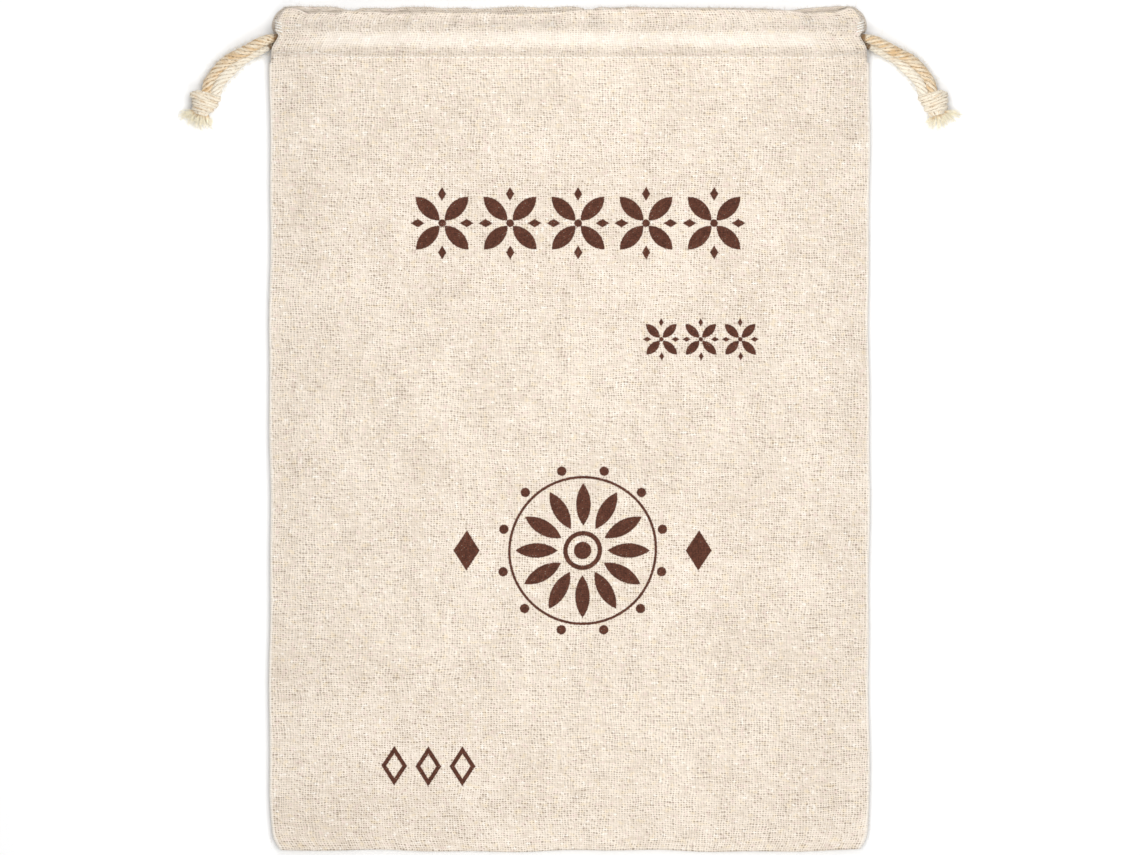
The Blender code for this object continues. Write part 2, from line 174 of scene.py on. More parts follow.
# The cords' free ends: cotton cord of six plies, each spun from finer yarns. Two ends come out of
# the channels at each side of the bag, and lie on the table down to their knot.
SIDES = {"left": -1.0, "right": 1.0}
FREE_DIAMETER = 5.5
PLIES = 6
YARNS = 3
LAY = 19.0
YARN_SHIFT = 2.2
PLY_SHARE = 0.41
YARN_DEPTH = 0.16
UNEVEN_SHARE = 0.025
UNEVEN_LENGTH = 1.9
FLUFF = 0.25
ROPE_SIDES = 90
ROPE_STEP = 0.3
ROUTE_FINENESS = 24
INTO_KNOT = 2.6
STRAND_LEAN = {"front": 1.0, "back": -1.25}
LEAN_RANGE = (6.0, 22.0)
EXIT_LEAN = {"front": -0.3, "back": -2.8}
EXIT_REACH = 17.0
EXIT_SQUEEZE = 0.24
# Painted shade on each strand where it leaves the dark end of its channel, between these lengths along it
EXIT_SHADE = {"front": (3.7, 5.0), "back": (6.7, 7.9)}
FRONT_STRAND = (
    (-143.2, 194.6, 8.5),
    (-147.8, 194.8, 7.9),
    (-154.8, 193.2, 6.9),
    (-162.9, 189.4, 6.1),
    (-168.0, 187.1, 5.0),
    (-172.4, 184.3, 3.8),
    (-176.6, 180.0, 3.0),
    (-179.8, 175.6, 3.4),
    (-181.2, 172.8, 4.2),
    (-181.9, 170.2, 4.7),
)
BACK_STRAND = (
    (-143.2, 190.7, 4.2),
    (-148.0, 190.3, 4.1),
    (-153.0, 189.0, 3.4),
    (-158.3, 186.7, 2.9),
    (-163.4, 183.1, 2.8),
    (-167.6, 179.0, 2.8),
    (-171.2, 175.6, 3.2),
    (-173.9, 172.0, 4.0),
    (-175.3, 168.3, 4.8),
)
CREAM = (0.74, 0.66, 0.52)
WHITE_COTTON = (0.78, 0.74, 0.65)
TAN = (0.62, 0.43, 0.235)
FURROW_SHADE_TAN = (0.40, 0.27, 0.14)
# The back strands are painted lighter than the front ones: painted light on the same cotton
BACK_STRAND_PAINTED_LIGHT = 0.6
PAINTED_SHADE_AND_SPECK_BROWN = (0.25, 0.145, 0.065)
MARK_LENGTH = {"streak": 5.0, "patch": 6.0, "fleck": 1.1, "speck": 0.8, "fibre": 3.0}


def smooth(t):
    """A soft step, 0 up to t = 0 and 1 from t = 1."""
    t = np.clip(t, 0.0, 1.0)
    return t * t * (3.0 - 2.0 * t)


def run_lengths(points):
    """How far each point of a line lies along it from the line's start."""
    return np.concatenate(([0.0], np.cumsum(np.linalg.norm(np.diff(points, axis=0), axis=1))))


def smooth_route(points, spacing):
    """Points along a smooth curve through the route's own points, about spacing apart."""
    route = [np.array(point, np.float32) for point in points]
    route = [2.0 * route[0] - route[1], *route, 2.0 * route[-1] - route[-2]]
    fine = []
    for a, b, c, d in zip(route, route[1:], route[2:], route[3:]):
        for step in range(ROUTE_FINENESS):
            t = step / ROUTE_FINENESS
            fine.append(0.5 * (2.0 * b + (c - a) * t + (2.0 * a - 5.0 * b + 4.0 * c - d) * t**2
                               + (3.0 * b - a - 3.0 * c + d) * t**3))
    fine = np.array([*fine, route[-2]])
    lengths = run_lengths(fine)
    wanted = np.linspace(0.0, lengths[-1], round(lengths[-1] / spacing) + 1)
    return np.stack([np.interp(wanted, lengths, fine[:, axis]) for axis in range(3)], 1)


def unit(vectors):
    return vectors / np.maximum(np.linalg.norm(vectors, axis=-1, keepdims=True), 1e-9)


def surface(name, points, flat, around=False):
    """A mesh through rows of points, which keeps each point's place on the flat thread or cloth."""
    rows, columns = points.shape[:2]
    i, k = np.meshgrid(np.arange(rows - 1), np.arange(columns if around else columns - 1), indexing="ij")
    below, above, after = i * columns, (i + 1) * columns, (k + 1) % columns
    faces = np.stack((below + k, below + after, above + after, above + k), -1).reshape(-1, 4).tolist()
    corners = np.stack((flat[i, k], flat[i, k + 1], flat[i + 1, k + 1], flat[i + 1, k]), 2).reshape(-1, 2)
    caps = [list(range(columns))[::-1], list(range((rows - 1) * columns, rows * columns))] if around else []
    mesh = bpy.data.meshes.new(name)
    mesh.from_pydata((points.reshape(-1, 3) * MM).tolist(), [], faces + caps)
    laid = np.zeros((len(mesh.loops), 2))
    laid[:len(corners)] = corners * MM
    mesh.uv_layers.new(name="laid_flat").data.foreach_set("uv", laid.ravel())
    return mesh


def rope_rings(route, diameter, lay, phase=0.0):
    """The rings of a rope of plies along a route, and each point's place along and round it."""
    hand = math.copysign(1.0, lay)
    radius = np.broadcast_to(np.asarray(diameter) / 2, len(route))[:, None]
    ahead = unit(np.gradient(route, axis=0))
    across = np.zeros_like(ahead)
    upright = np.array((0.0, 0.0, 1.0))
    for i, direction in enumerate(ahead):
        upright = unit(upright - direction * (upright @ direction))
        across[i] = upright
    third = np.cross(ahead, across)
    along = run_lengths(route)[:, None]
    angle = np.linspace(math.pi, 3.0 * math.pi, ROPE_SIDES + 1)[None, :]
    turn = PLIES * (angle + phase + 2.0 * math.pi * along / lay)
    beside = ((turn + math.pi) % (2.0 * math.pi) - math.pi) / PLIES
    ply = radius * PLY_SHARE
    centre = radius - ply
    reach = centre * np.cos(beside) + np.sqrt(ply**2 - (centre * np.sin(beside))**2)
    yarn = YARNS * turn - hand * 2.0 * math.pi * along / YARN_SHIFT
    reach -= YARN_DEPTH * (0.5 + 0.5 * np.cos(yarn))
    reach *= 1.0 + UNEVEN_SHARE * np.sin(along / UNEVEN_LENGTH + 2.0 * angle)
    high = np.cos(angle)[..., None] * across[:, None]
    wide = np.sin(angle)[..., None] * third[:, None]
    offset = (high + wide) * reach[..., None]
    flat = np.stack((np.broadcast_to(along, turn.shape), hand * turn / (2.0 * math.pi)), -1)
    return (route[:, None] + offset)[:, :-1], flat


def piece(name, mesh, finish, slot, *nodes):
    """Adds a mesh to the bag's one body, in place of the CAD nodes that it stands for."""
    mesh.materials.append(finish.material)
    mesh.shade_smooth()
    obj = bpy.data.objects.new(name, mesh)
    bpy.context.scene.collection.objects.link(obj)
    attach(obj, "root")
    if nodes:
        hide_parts(*nodes)
    return obj


def noise(finish, across, along, detail=2.0):
    """Noise from 0 to 1 that changes over about one unit either way."""
    at = finish.node("CombineXYZ", {}, {0: across, 1: along})
    return finish.node("TexNoise", {"noise_dimensions": "2D"}, {"Vector": at, "Scale": 1.0, "Detail": detail})


def mixed(finish, share, first, second):
    return finish.node("Mix", {"data_type": "RGBA"}, {0: share, 6: first, 7: second}, output=2)


def shaded(finish, colour, amount):
    return finish.node("VectorMath", {"operation": "SCALE"}, {0: colour, 3: amount})


def flat_place(finish):
    """A point's place on the flat cloth or thread, in millimetres."""
    place = finish.node("UVMap", {"uv_map": "laid_flat"}, {})
    across = finish.node("SeparateXYZ", {}, {0: place})
    return across / MM, across.also(1) / MM


def cotton_cord_finish(name, pale, shade=None):
    """Matt cotton: cream yarns with tan patches, small brown specks, painted shade in the ply and yarn
    grooves, deepest at brown flecks, and painted shade where the cord leaves its channel when shade is given.
    """
    finish = Finish(name, Roughness=0.85, Sheen_Weight=0.2, Sheen_Roughness=0.5, Specular_IOR_Level=0.2)
    along, ply = flat_place(finish)
    from_groove = abs(ply.math("FRACT") - 0.5)
    groove = from_groove.between(0.27, 0.04)
    yarn = ply * YARNS - along / YARN_SHIFT
    furrow = abs(yarn.math("FRACT") - 0.5).between(0.24, 0.46)
    streak = noise(finish, yarn.math("FLOOR") * 3.7, along / MARK_LENGTH["streak"])
    patch = noise(finish, ply * 1.3, along / MARK_LENGTH["patch"])
    fleck = noise(finish, ply * 5.0 + 31.0, along / MARK_LENGTH["fleck"]).between(0.48, 0.60)
    speck = noise(finish, ply * 7.0 + 57.0, along / MARK_LENGTH["speck"]).between(0.62, 0.72)
    clean = [c + (w - c) * pale for c, w in zip(CREAM, WHITE_COTTON)]
    colour = mixed(finish, (patch * 2.2 - 0.65 - pale).between(0.0, 1.0), clean, TAN)
    # Painted shade: the yarn furrows and ply grooves are darkened, most where a brown fleck lies in them.
    colour = mixed(finish, furrow * (0.16 + fleck * 0.4) * (1.0 - 0.7 * pale), colour, FURROW_SHADE_TAN)
    colour = mixed(finish, groove * (0.1 + fleck * 0.9) * (1.0 - 0.7 * pale), colour, PAINTED_SHADE_AND_SPECK_BROWN)
    colour = mixed(finish, speck * (0.6 - 0.35 * pale), colour, PAINTED_SHADE_AND_SPECK_BROWN)
    colour = shaded(finish, colour, streak * 0.36 + 0.87)
    # Painted shade where the cord comes out of its channel.
    if shade:
        colour = mixed(finish, 1.0 - along.between(*shade), colour, PAINTED_SHADE_AND_SPECK_BROWN)
    fibre = noise(finish, ply * 40.0, along / MARK_LENGTH["fibre"])
    return finish.painted(colour, streak + fibre * 0.7, 0.5, 0.25)


def near_exit(along):
    """1 at the channel's end, and softly down to 0 along the cord."""
    return smooth(1.0 - along / EXIT_REACH)


def leaned(route, amount, at_exit):
    """The way a strand lies: nearer to the other strand, and on into the knot past the route's end."""
    along = run_lengths(route)
    share = smooth((along - LEAN_RANGE[0]) / (LEAN_RANGE[1] - LEAN_RANGE[0]))
    ahead = unit(np.gradient(route, axis=0) * (1.0, 1.0, 0.0))
    beside = np.stack((-ahead[:, 1], ahead[:, 0], np.zeros(len(ahead))), 1)
    aside = amount * share + at_exit * near_exit(along)
    moved = route + aside[:, None] * beside
    steps = ROPE_STEP * np.arange(1, round(INTO_KNOT / ROPE_STEP) + 1)
    return np.concatenate((moved, moved[-1] + steps[:, None] * unit(moved[-1] - moved[-2])))


strand_routes = {}
for layer, own_route, pale in (("front", FRONT_STRAND, 0.0), ("back", BACK_STRAND, BACK_STRAND_PAINTED_LIGHT)):
    finish = cotton_cord_finish(f"Cotton cord, {layer} strands", pale, EXIT_SHADE[layer])
    for side, sign in SIDES.items():
        route = smooth_route([(-sign * x, y, z) for x, y, z in own_route], ROPE_STEP)
        lying = leaned(route, -sign * STRAND_LEAN[layer], -sign * EXIT_LEAN[layer])
        squeezed = 1.0 - EXIT_SQUEEZE * near_exit(ROPE_STEP * np.arange(len(lying)))
        rings, flat = rope_rings(lying, (FREE_DIAMETER + FLUFF) * squeezed, sign * LAY)
        name = f"strand_{side}_{layer}"
        piece("free_" + name, surface(name, rings, flat, True), finish, "cotton_cord", name)
        strand_routes[name] = route

# The drawcords where the channels hold them: each cord goes through the front channel, turns at
# the far side and comes back through the back one, so that pulling it gathers both channels.
HELD_DIAMETER = 4.2
HELD_STEP = 1.4
CORD_ABOVE_LEVEL = 3.0
BACK_CORD_HEIGHT = 3.5
TURN_START = 124.4
RUN_Y = {"left": 191.6, "right": 197.4}
TURN_STEPS = 6
HELD_PALE = 0.2
HELD_SIDES_SHARE = 3
CHANNEL_LEVEL = {
    "from_middle": (0.0, 76.0, 101.4, 126.7, 136.7, 142.7, 150.0),
    "height": (12.5, 12.5, 11.6, 8.6, 6.8, 5.4, 3.7),
}
LEVEL_PLACES = (126.0, 118.0, 101.4, 88.0, 76.0, 60.0, 0.0)
BACK_PLACES = (-116.0, -60.0, 0.0, 60.0, 116.0, 126.0)
FRONT_EXIT = {
    "from_middle": (142.0, 139.5, 135.0, 131.0),
    "to_exit": (1.0, 0.9, 0.35, 0.08),
    "height": (8.6, 9.0, 9.9, 10.7),
}
BACK_EXIT = {
    "from_middle": (131.0, 135.0, 138.4, 141.8),
    "to_exit": (0.08, 0.4, 0.85, 1.0),
    "height": (BACK_CORD_HEIGHT, 3.6, 3.9, 4.1),
}


def cord_level(from_middle):
    """The height of a cord's middle in the front channel."""
    return float(np.interp(from_middle, *CHANNEL_LEVEL.values())) + CORD_ABOVE_LEVEL


def exit_bend(table, exit_y, run):
    """The bend between a cord's run in its channel and the channel's end."""
    return [(a, share * exit_y + (1.0 - share) * run, z) for a, share, z in zip(*table.values())]


def held_route(side, sign):
    """A drawcord's way through the front channel, round the far end and back through the back one."""
    run = RUN_Y[side]
    front = exit_bend(FRONT_EXIT, FRONT_STRAND[0][1], run)
    front += [(a, run, cord_level(a)) for a in LEVEL_PLACES]
    front += [(-a, run, cord_level(a)) for a in LEVEL_PLACES[-2:0:-1]]
    top = cord_level(TURN_START)
    radius = (top - BACK_CORD_HEIGHT) / 2
    turn = []
    for angle in np.linspace(0.0, math.pi, TURN_STEPS + 1):
        turn.append((-TURN_START - radius * math.sin(angle), run, top - radius * (1.0 - math.cos(angle))))
    back = [(a, run, BACK_CORD_HEIGHT) for a in BACK_PLACES]
    back += exit_bend(BACK_EXIT, BACK_STRAND[0][1], run)
    return [(sign * a, y, z) for a, y, z in front + turn + back]


held_finish = cotton_cord_finish("Cotton cord in the channels", HELD_PALE)
for side, sign in SIDES.items():
    rings, flat = rope_rings(smooth_route(held_route(side, sign), HELD_STEP), HELD_DIAMETER, sign * LAY)
    few = slice(None, None, HELD_SIDES_SHARE)
    mesh = surface(f"held_cord_{side}", rings[:, few], flat[:, few], True)
    piece(f"held_cord_{side}", mesh, held_finish, "cotton_cord", f"drawcord_{side}")

# The knots: both ends of a drawcord are tied together in one pulled overhand knot, so that three
# tight turns show side by side, widest where the two ends go in.
KNOT_TOP = (-181.0, 168.6, 5.7)
KNOT_END = (-184.4, 156.6, 5.2)
KNOT_SECTIONS = {
    "down": (0.0, 0.06, 0.2, 0.4, 0.6, 0.8, 0.94, 1.0),
    "half_width": (5.6, 7.6, 8.3, 7.5, 6.6, 5.6, 4.6, 3.6),
    "half_height": (2.9, 4.3, 5.0, 5.0, 4.8, 4.3, 3.6, 2.6),
}
KNOT_PALE = 0.4
WOUND_DIAMETER = 4.0
WOUND_INSET = {"wide": 2.15, "high": 2.1}
WOUND_START = 0.9 * math.pi
WOUND_TURNS = 3.2
WOUND_LAY = 42.0
WOUND_SPAN = (0.1, 0.86)
WOUND_STEPS = 300
WOUND_PHASE = 0.4
CORE_SHARE = 0.72
CORE_SPAN = (0.03, 0.97)
CORE_RINGS = 24
CORE_SIDES = 24
CORE_LENGTH = 12.0


def at_side(point, sign):
    """A place given for the left side, kept there with sign -1 and mirrored to the right with +1."""
    return np.array((-sign * point[0], point[1], point[2]))


def knot_frame(sign):
    """The knot's top, its end, and its directions along, up and towards the bag's left."""
    top = at_side(KNOT_TOP, sign)
    end = at_side(KNOT_END, sign)
    down = unit(end - top)
    up = unit(np.array((0.0, 0.0, 1.0)) - down * down[2])
    return top, end, down, up, np.cross(down, up)


def joined(name, meshes):
    """One mesh of several, with their places on the flat thread kept."""
    made = bpy.data.meshes.new(name)
    points, faces, laid = [], [], []
    for mesh in meshes:
        co = np.empty(len(mesh.vertices) * 3)
        mesh.vertices.foreach_get("co", co)
        uv = np.empty(len(mesh.loops) * 2)
        mesh.uv_layers["laid_flat"].data.foreach_get("uv", uv)
        start = sum(len(p) for p in points)
        faces += [[start + v for v in polygon.vertices] for polygon in mesh.polygons]
        points.append(co.reshape(-1, 3))
        laid.append(uv)
        bpy.data.meshes.remove(mesh)
    made.from_pydata(np.concatenate(points).tolist(), [], faces)
    made.uv_layers.new(name="laid_flat").data.foreach_set("uv", np.concatenate(laid))
    return made


knot_finish = cotton_cord_finish("Knotted cotton cord", KNOT_PALE)
for side, sign in SIDES.items():
    top, end, down, up, across = knot_frame(sign)
    places, widths, heights = KNOT_SECTIONS.values()
    share = np.linspace(0.0, 1.0, WOUND_STEPS)
    along = WOUND_SPAN[0] + (WOUND_SPAN[1] - WOUND_SPAN[0]) * share
    angle = WOUND_START - sign * 2.0 * math.pi * WOUND_TURNS * share
    wide = np.interp(along, places, widths) - WOUND_INSET["wide"]
    high = np.interp(along, places, heights) - WOUND_INSET["high"]
    loose = 1.0 + 0.06 * np.sin(angle * 1.7 + 0.6) + 0.04 * np.sin(angle * 3.3 + 1.9)
    route = top + (end - top) * along[:, None] + up * (high * loose * np.cos(angle))[:, None]
    route = route + across * (wide * loose * np.sin(angle))[:, None]
    rings, flat = rope_rings(route, WOUND_DIAMETER, sign * WOUND_LAY, WOUND_PHASE)
    wound = surface("wound", rings, flat, True)
    down_core = np.linspace(*CORE_SPAN, CORE_RINGS)[:, None]
    round_core = np.linspace(0.0, 2.0 * math.pi, CORE_SIDES + 1)[None, :]
    core_wide = CORE_SHARE * np.interp(down_core, places, widths) * np.sin(round_core)
    core_high = CORE_SHARE * np.interp(down_core, places, heights) * np.cos(round_core)
    core_points = top + (end - top) * down_core[..., None] + up * core_high[..., None]
    core_points = core_points + across * core_wide[..., None]
    core_flat = np.stack(np.broadcast_arrays(down_core * CORE_LENGTH, round_core), -1)
    core = surface("core", core_points[:, :-1], core_flat, True)
    name = f"knot_{side}"
    piece("tied_" + name, joined(name, [wound, core]), knot_finish, "cotton_cord", name)

# The frayed ends: past the knot the cord is cut and its plies have come apart into soft crimped
# yarns and single fibres, which fan out and lie down on the table.
LOCKS = {
    "turn": (-82.0, -72.0, -60.0, -47.0, -38.0, -25.0, -14.0, -4.0, 8.0, 20.0, 34.0, -55.0, -20.0),
    "reach": (8.6, 9.4, 7.6, 8.8, 6.8, 9.2, 8.0, 8.8, 7.4, 8.2, 6.2, 5.0, 5.5),
    "across": (-2.8, -2.6, -2.2, -1.7, -1.2, -0.6, 0.0, 0.7, 1.4, 2.2, 2.8, -0.9, 0.6),
    "height": (1.2, 0.5, 1.4, 0.6, 1.6, 0.7, 1.2, 0.5, 1.1, 0.6, 0.9, 1.8, 1.9),
}
LOCK_YARNS = 9
LOCK_FIBRES = 14
LOCK_BEND = 18.0
LOCK_ROOT = 1.4
LOCK_FALL = 0.7
TABLE_CLEARANCE = 0.35
LOCK_HALF_WIDTH = (0.5, 1.4)
LOCK_STRAY = 4.5
FRAY_SEEDS = {"left": 21, "right": 34}
FRAY_STEPS = 12
FRAY_CRIMP = 0.35
FRAY_TAPER = 0.65
YARN_RADII = (0.15, 0.26)
FIBRE_RADII = (0.05, 0.1)
FIBRE_STRETCH = 1.15
FRAY_PALE = (0.97, 0.90, 0.71)
FRAY_GOLD = (0.84, 0.60, 0.33)
OFF_THREADS = (0.21, 0.13, 0.97)
THREAD_SPACING = 0.37


def fibres(name, lines, radii, sides=4):
    """Thin tubes along many lines at once, each with its own place across the flat thread."""
    count, steps = lines.shape[:2]
    ahead = unit(np.gradient(lines, axis=1))
    beside = unit(np.cross(ahead, OFF_THREADS))
    above = np.cross(beside, ahead)
    angle = 2.0 * math.pi * np.arange(sides + 1) / sides
    ring = np.cos(angle)[:, None] * beside[:, :, None] + np.sin(angle)[:, None] * above[:, :, None]
    points = lines[:, :, None] + ring * radii[:, :, None, None]
    along = np.cumsum(np.linalg.norm(np.diff(lines, axis=1, prepend=lines[:, :1]), axis=2), axis=1)
    meshes = []
    for i in range(count):
        round_it = THREAD_SPACING * i + angle[None, :] / 9.0
        flat = np.stack(np.broadcast_arrays(along[i][:, None], round_it), -1)
        meshes.append(surface(name, points[i, :, :-1], flat, True))
    return joined(name, meshes)


def fray_finish():
    """Loose cotton: pale at the tips, golden where it leaves the knot, each yarn a little different."""
    finish = Finish("Frayed cotton", Roughness=0.9, Sheen_Weight=0.3, Sheen_Roughness=0.5,
                    Specular_IOR_Level=0.2)
    along, yarn = flat_place(finish)
    own = noise(finish, yarn * 1.7, along / 9.0)
    tip = (along + own * 6.0).between(3.5, 7.5)
    return finish.painted(shaded(finish, mixed(finish, tip, FRAY_GOLD, FRAY_PALE), own * 0.7 + 0.66))


def fray_lines(random, count, sign, stretch):
    """Crimped lines from the cut end of the cord, in locks that fan out and fall to the table."""
    _, end, down, up, across = knot_frame(sign)
    share = np.linspace(0.0, 1.0, FRAY_STEPS)[None, :, None]
    lines = []
    for turn, reach, place, height in zip(*LOCKS.values()):
        turn = np.radians(turn + LOCK_BEND * (share - 1.0) + random.normal(0.0, LOCK_STRAY, (count, 1, 1)))
        ahead = np.concatenate((sign * -np.sin(turn), -np.cos(turn), np.zeros_like(turn)), 2)
        reaches = reach * stretch * random.uniform(0.5, 1.05, (count, 1, 1))
        root = end - down * LOCK_ROOT + across * (sign * place)
        run = root + ahead * reaches * share
        spread = LOCK_HALF_WIDTH[0] + (LOCK_HALF_WIDTH[1] - LOCK_HALF_WIDTH[0]) * share
        beside = np.cross(ahead, (0.0, 0.0, 1.0))
        run = run + beside * random.normal(0.0, 0.5, (count, 1, 1)) * spread
        own = root[2] + random.normal(0.0, 0.8, (count, 1, 1))
        tip = height * random.uniform(0.4, 1.3, (count, 1, 1))
        run[..., 2:] = own + (tip - own) * share**LOCK_FALL
        phase = random.uniform(0.0, 2.0 * math.pi, (count, 1, 3))
        pace = random.uniform(5.0, 11.0, (count, 1, 3))
        crimp = FRAY_CRIMP * share * np.sin(pace * share + phase)
        lines.append(run + crimp * random.uniform(0.5, 2.2, (count, 1, 1)))
    lines = np.concatenate(lines)
    lines[..., 2] = np.maximum(lines[..., 2], TABLE_CLEARANCE)
    return lines


frayed_finish = fray_finish()
for side, sign in SIDES.items():
    random = np.random.default_rng(FRAY_SEEDS[side])
    taper = 1.0 - FRAY_TAPER * np.linspace(0.0, 1.0, FRAY_STEPS)[None, :]
    yarn_lines = fray_lines(random, LOCK_YARNS, sign, 1.0)
    yarn_radii = random.uniform(*YARN_RADII, (len(yarn_lines), 1)) * taper
    fibre_lines = fray_lines(random, LOCK_FIBRES, sign, FIBRE_STRETCH)
    fibre_radii = random.uniform(*FIBRE_RADII, (len(fibre_lines), 1)) * taper
    name = f"frayed_end_{side}"
    meshes = [fibres("yarns", yarn_lines, yarn_radii), fibres("fibres", fibre_lines, fibre_radii, 3)]
    piece("loose_" + name, joined(name, meshes), frayed_finish, "cotton_cord", name)

for side, sign in SIDES.items():
    for layer in ("front", "back"):
        name = f"strand_{side}_{layer}"
        path = strand_routes[name] * MM
        length = float(run_lengths(path)[-1])

# The front panel: one cut of plain weave, linen one way and cotton the other. Its top is folded to the
# inside and stitched down as the channel that the cords bulge out, its sides and bottom are seamed with
# the allowances inside, and it lies in the soft folds that the table and the cords give it.
BAG_WIDTH = 300.0
BAG_LENGTH = 422.0
CLOTH = 0.6
SOLID_CLOTH = 1.0
ROLL_RADIUS = 0.8
ROLL_STEPS = 8
ROLL_DROP = 0.12
ALLOWANCE = 8.0
ALLOWANCE_STEPS = 4
SEAM_TOP = 183.0
FRONT_EDGE_HEIGHT = 5.0
FRONT_BODY_HEIGHT = 7.0
EDGE_SLOPE = 30.0
RAMP_START = 120.0
STITCH_BELOW_TOP = 25.0
FRONT_SHORTER = 2.2
FOLD_RADIUS = 1.0
FOLD_STEPS = 10
FOLD_START_GAP = 0.3
FOLD_START_INSET = 0.4
FOLD_TABLE = {"share": (0.0, 0.2, 0.4, 0.6, 1.0), "inset": (0.0, 0.8, 2.6, 5.0, 8.0)}
HEM_SIDE_INSET = 28.0
CORNER_MITRE = 22.0
CHANNEL_RISE = {
    "below_top": (3.7, 6.0, 8.6, 10.2, 11.6, 13.6, 16.5, 19.4, 21.5, 22.7, 24.0, 25.0, 26.5),
    "rise": (2.0, 2.6, 3.9, 4.9, 5.7, 6.25, 6.3, 6.05, 5.1, 4.0, 2.6, 1.8, 1.3),
}
SIDE_RISE = {"from_middle": (121.0, 150.0), "times": (1.0, 1.25)}
FRONT_MOUTH_OUTLINE = {
    "below_top": (3.0, 5.5, 9.0, 12.0, 14.5, 18.0, 21.0, 25.0),
    "inset": (6.2, 3.3, 2.2, 2.2, 3.8, 2.0, 0.5, 0.0),
}
BACK_MOUTH_OUTLINE = {
    "below_top": (0.5, 3.0, 6.0, 9.5, 12.5, 14.5, 20.0, 25.0),
    "inset": (6.2, 2.6, 0.8, 0.0, 0.8, 3.6, 0.5, 0.0),
}
BOTTOM_OUTLINE = {
    "above_bottom": (0.0, 1.0, 3.0, 5.0, 7.5, 16.0, 25.0),
    "inset": (4.5, 4.0, 2.5, 1.5, 1.0, 0.4, 0.0),
}
WELD_DISTANCE = 0.02
CORNER_LIFT = {"from_side": (0.0, 2.5, 6.0, 12.0), "lift": (1.0, 0.5, 0.2, 0.0)}
SIDE_WAVES = {"length": (170.0, 61.0), "height": (0.35, 0.2)}
BOTTOM_WAVES = {"length": (130.0, 47.0), "height": (0.45, 0.25)}
BOTTOM_WAVE_REACH = 80.0
SEAM_PHASE = 0.4
SIDE_PHASES = {-1.0: SEAM_PHASE, 1.0: SEAM_PHASE + 2.0}
MOUTH_WAVE_START = 200.0
SHEET_WAVES = {"along_x": (150.0, 96.0), "along_y": (118.0, 190.0), "height": (0.2, 0.15)}
COLUMN_STEP = 2.0
BODY_STEP = 2.6
CHANNEL_STEP = 0.9

# Where the folded edge of the mouth lies across the bag: it dips between soft scallops, and the back
# panel's fold shows a little past the front one
FRONT_FOLD_LINE = {
    "across": (-150.0, -145.5, -139.0, -136.0, -133.0, -131.0, -123.0, -116.0, -112.0, -106.0, -96.0, -91.0,
               -83.0, -75.0, -65.0, -56.0, -45.0, -28.0, -17.0, -5.5, 4.0, 10.0, 25.0, 43.0, 60.0, 95.0,
               110.0, 118.0, 128.0, 136.0, 139.5, 145.5, 150.0),
    "y": (208.6, 209.5, 211.0, 210.3, 208.8, 208.0, 208.5, 207.8, 209.2, 208.7, 208.6, 207.9,
          208.0, 208.6, 208.3, 208.2, 208.3, 207.7, 208.0, 208.7, 209.3, 209.6, 210.1, 210.2, 210.0, 209.4,
          209.2, 208.2, 208.5, 209.6, 210.9, 209.4, 208.4),
}
BACK_FOLD_LINE = {
    "across": (-150.0, -136.0, -130.0, -120.0, -114.0, -111.5, -108.5, -106.0, -104.0, -96.0, -90.0, -83.0,
               -70.0, -63.0, -56.0, -45.0, -38.0, -25.0, -12.0, 0.0, 4.0, 9.5, 16.0, 22.0, 31.0, 43.0, 60.0,
               95.0, 105.0, 110.0, 115.0, 123.0, 130.0, 136.0, 150.0),
    "y": (211.0, 211.5, 211.3, 211.2, 210.5, 209.6, 209.2, 209.8, 210.5, 210.6, 210.3, 211.1, 211.1, 210.4,
          210.7, 210.2, 210.7, 211.2, 210.7, 211.4, 211.1, 209.7, 211.1, 210.7, 211.3, 210.8, 210.8, 210.4,
          209.8, 209.1, 210.1, 210.8, 211.3, 211.5, 211.0),
}

# The gathers: short dips of the channel's upper slope, between the fold and the cords
GATHERS = {
    "across": (-137.0, -121.0, -104.0, -92.0, -82.0, -77.0, -59.0, -38.0, -28.0, -21.5, -12.0, -6.0, 9.0,
               16.5, 33.0, 52.0, 66.0, 84.0, 101.0, 113.0, 127.0, 138.0),
    "half_width": (4.0, 3.0, 2.4, 3.0, 1.8, 2.0, 2.4, 2.0, 2.2, 2.2, 2.4, 1.8, 2.4, 2.6, 3.0, 3.4, 2.2, 3.0,
                   2.6, 2.4, 3.0, 4.0),
    "depth": (0.7, 0.5, 0.45, 0.5, 0.9, -0.6, 0.8, 0.6, 0.85, 0.7, 0.95, 0.8, 0.9, 0.95, 0.5, 0.55, 0.7,
              0.4, 0.55, 0.6, 0.55, 0.7),
}
GATHER_MIDDLE = 203.5
GATHER_HALF_HEIGHT = 4.2

# Soft creases of the sheet, each from one end to the other: troughs are negative heights
CREASES = {
    "start": ((9.0, -95.0), (-62.0, 165.0), (-88.0, 60.0), (-128.0, 176.0), (118.0, 182.0), (-40.0, 178.0),
              (58.0, 176.0), (-132.0, -60.0), (84.0, -70.0), (-105.0, -130.0), (136.0, 60.0), (-20.0, 176.0)),
    "end": ((7.0, -208.0), (-84.0, 60.0), (-70.0, -30.0), (-112.0, 118.0), (98.0, 128.0), (-46.0, 132.0),
            (66.0, 120.0), (-126.0, -150.0), (92.0, -160.0), (-60.0, -190.0), (138.0, -90.0), (-12.0, 120.0)),
    "half_width": (6.0, 9.0, 8.0, 6.0, 7.0, 5.0, 8.0, 7.0, 9.0, 10.0, 5.0, 6.0),
    "height": (-0.7, -0.6, 0.45, -0.75, -0.6, 0.5, -0.5, -0.45, 0.45, -0.5, 0.4, -0.45),
}
CREASE_TOP = 178.0
CREASE_FADE = 20.0
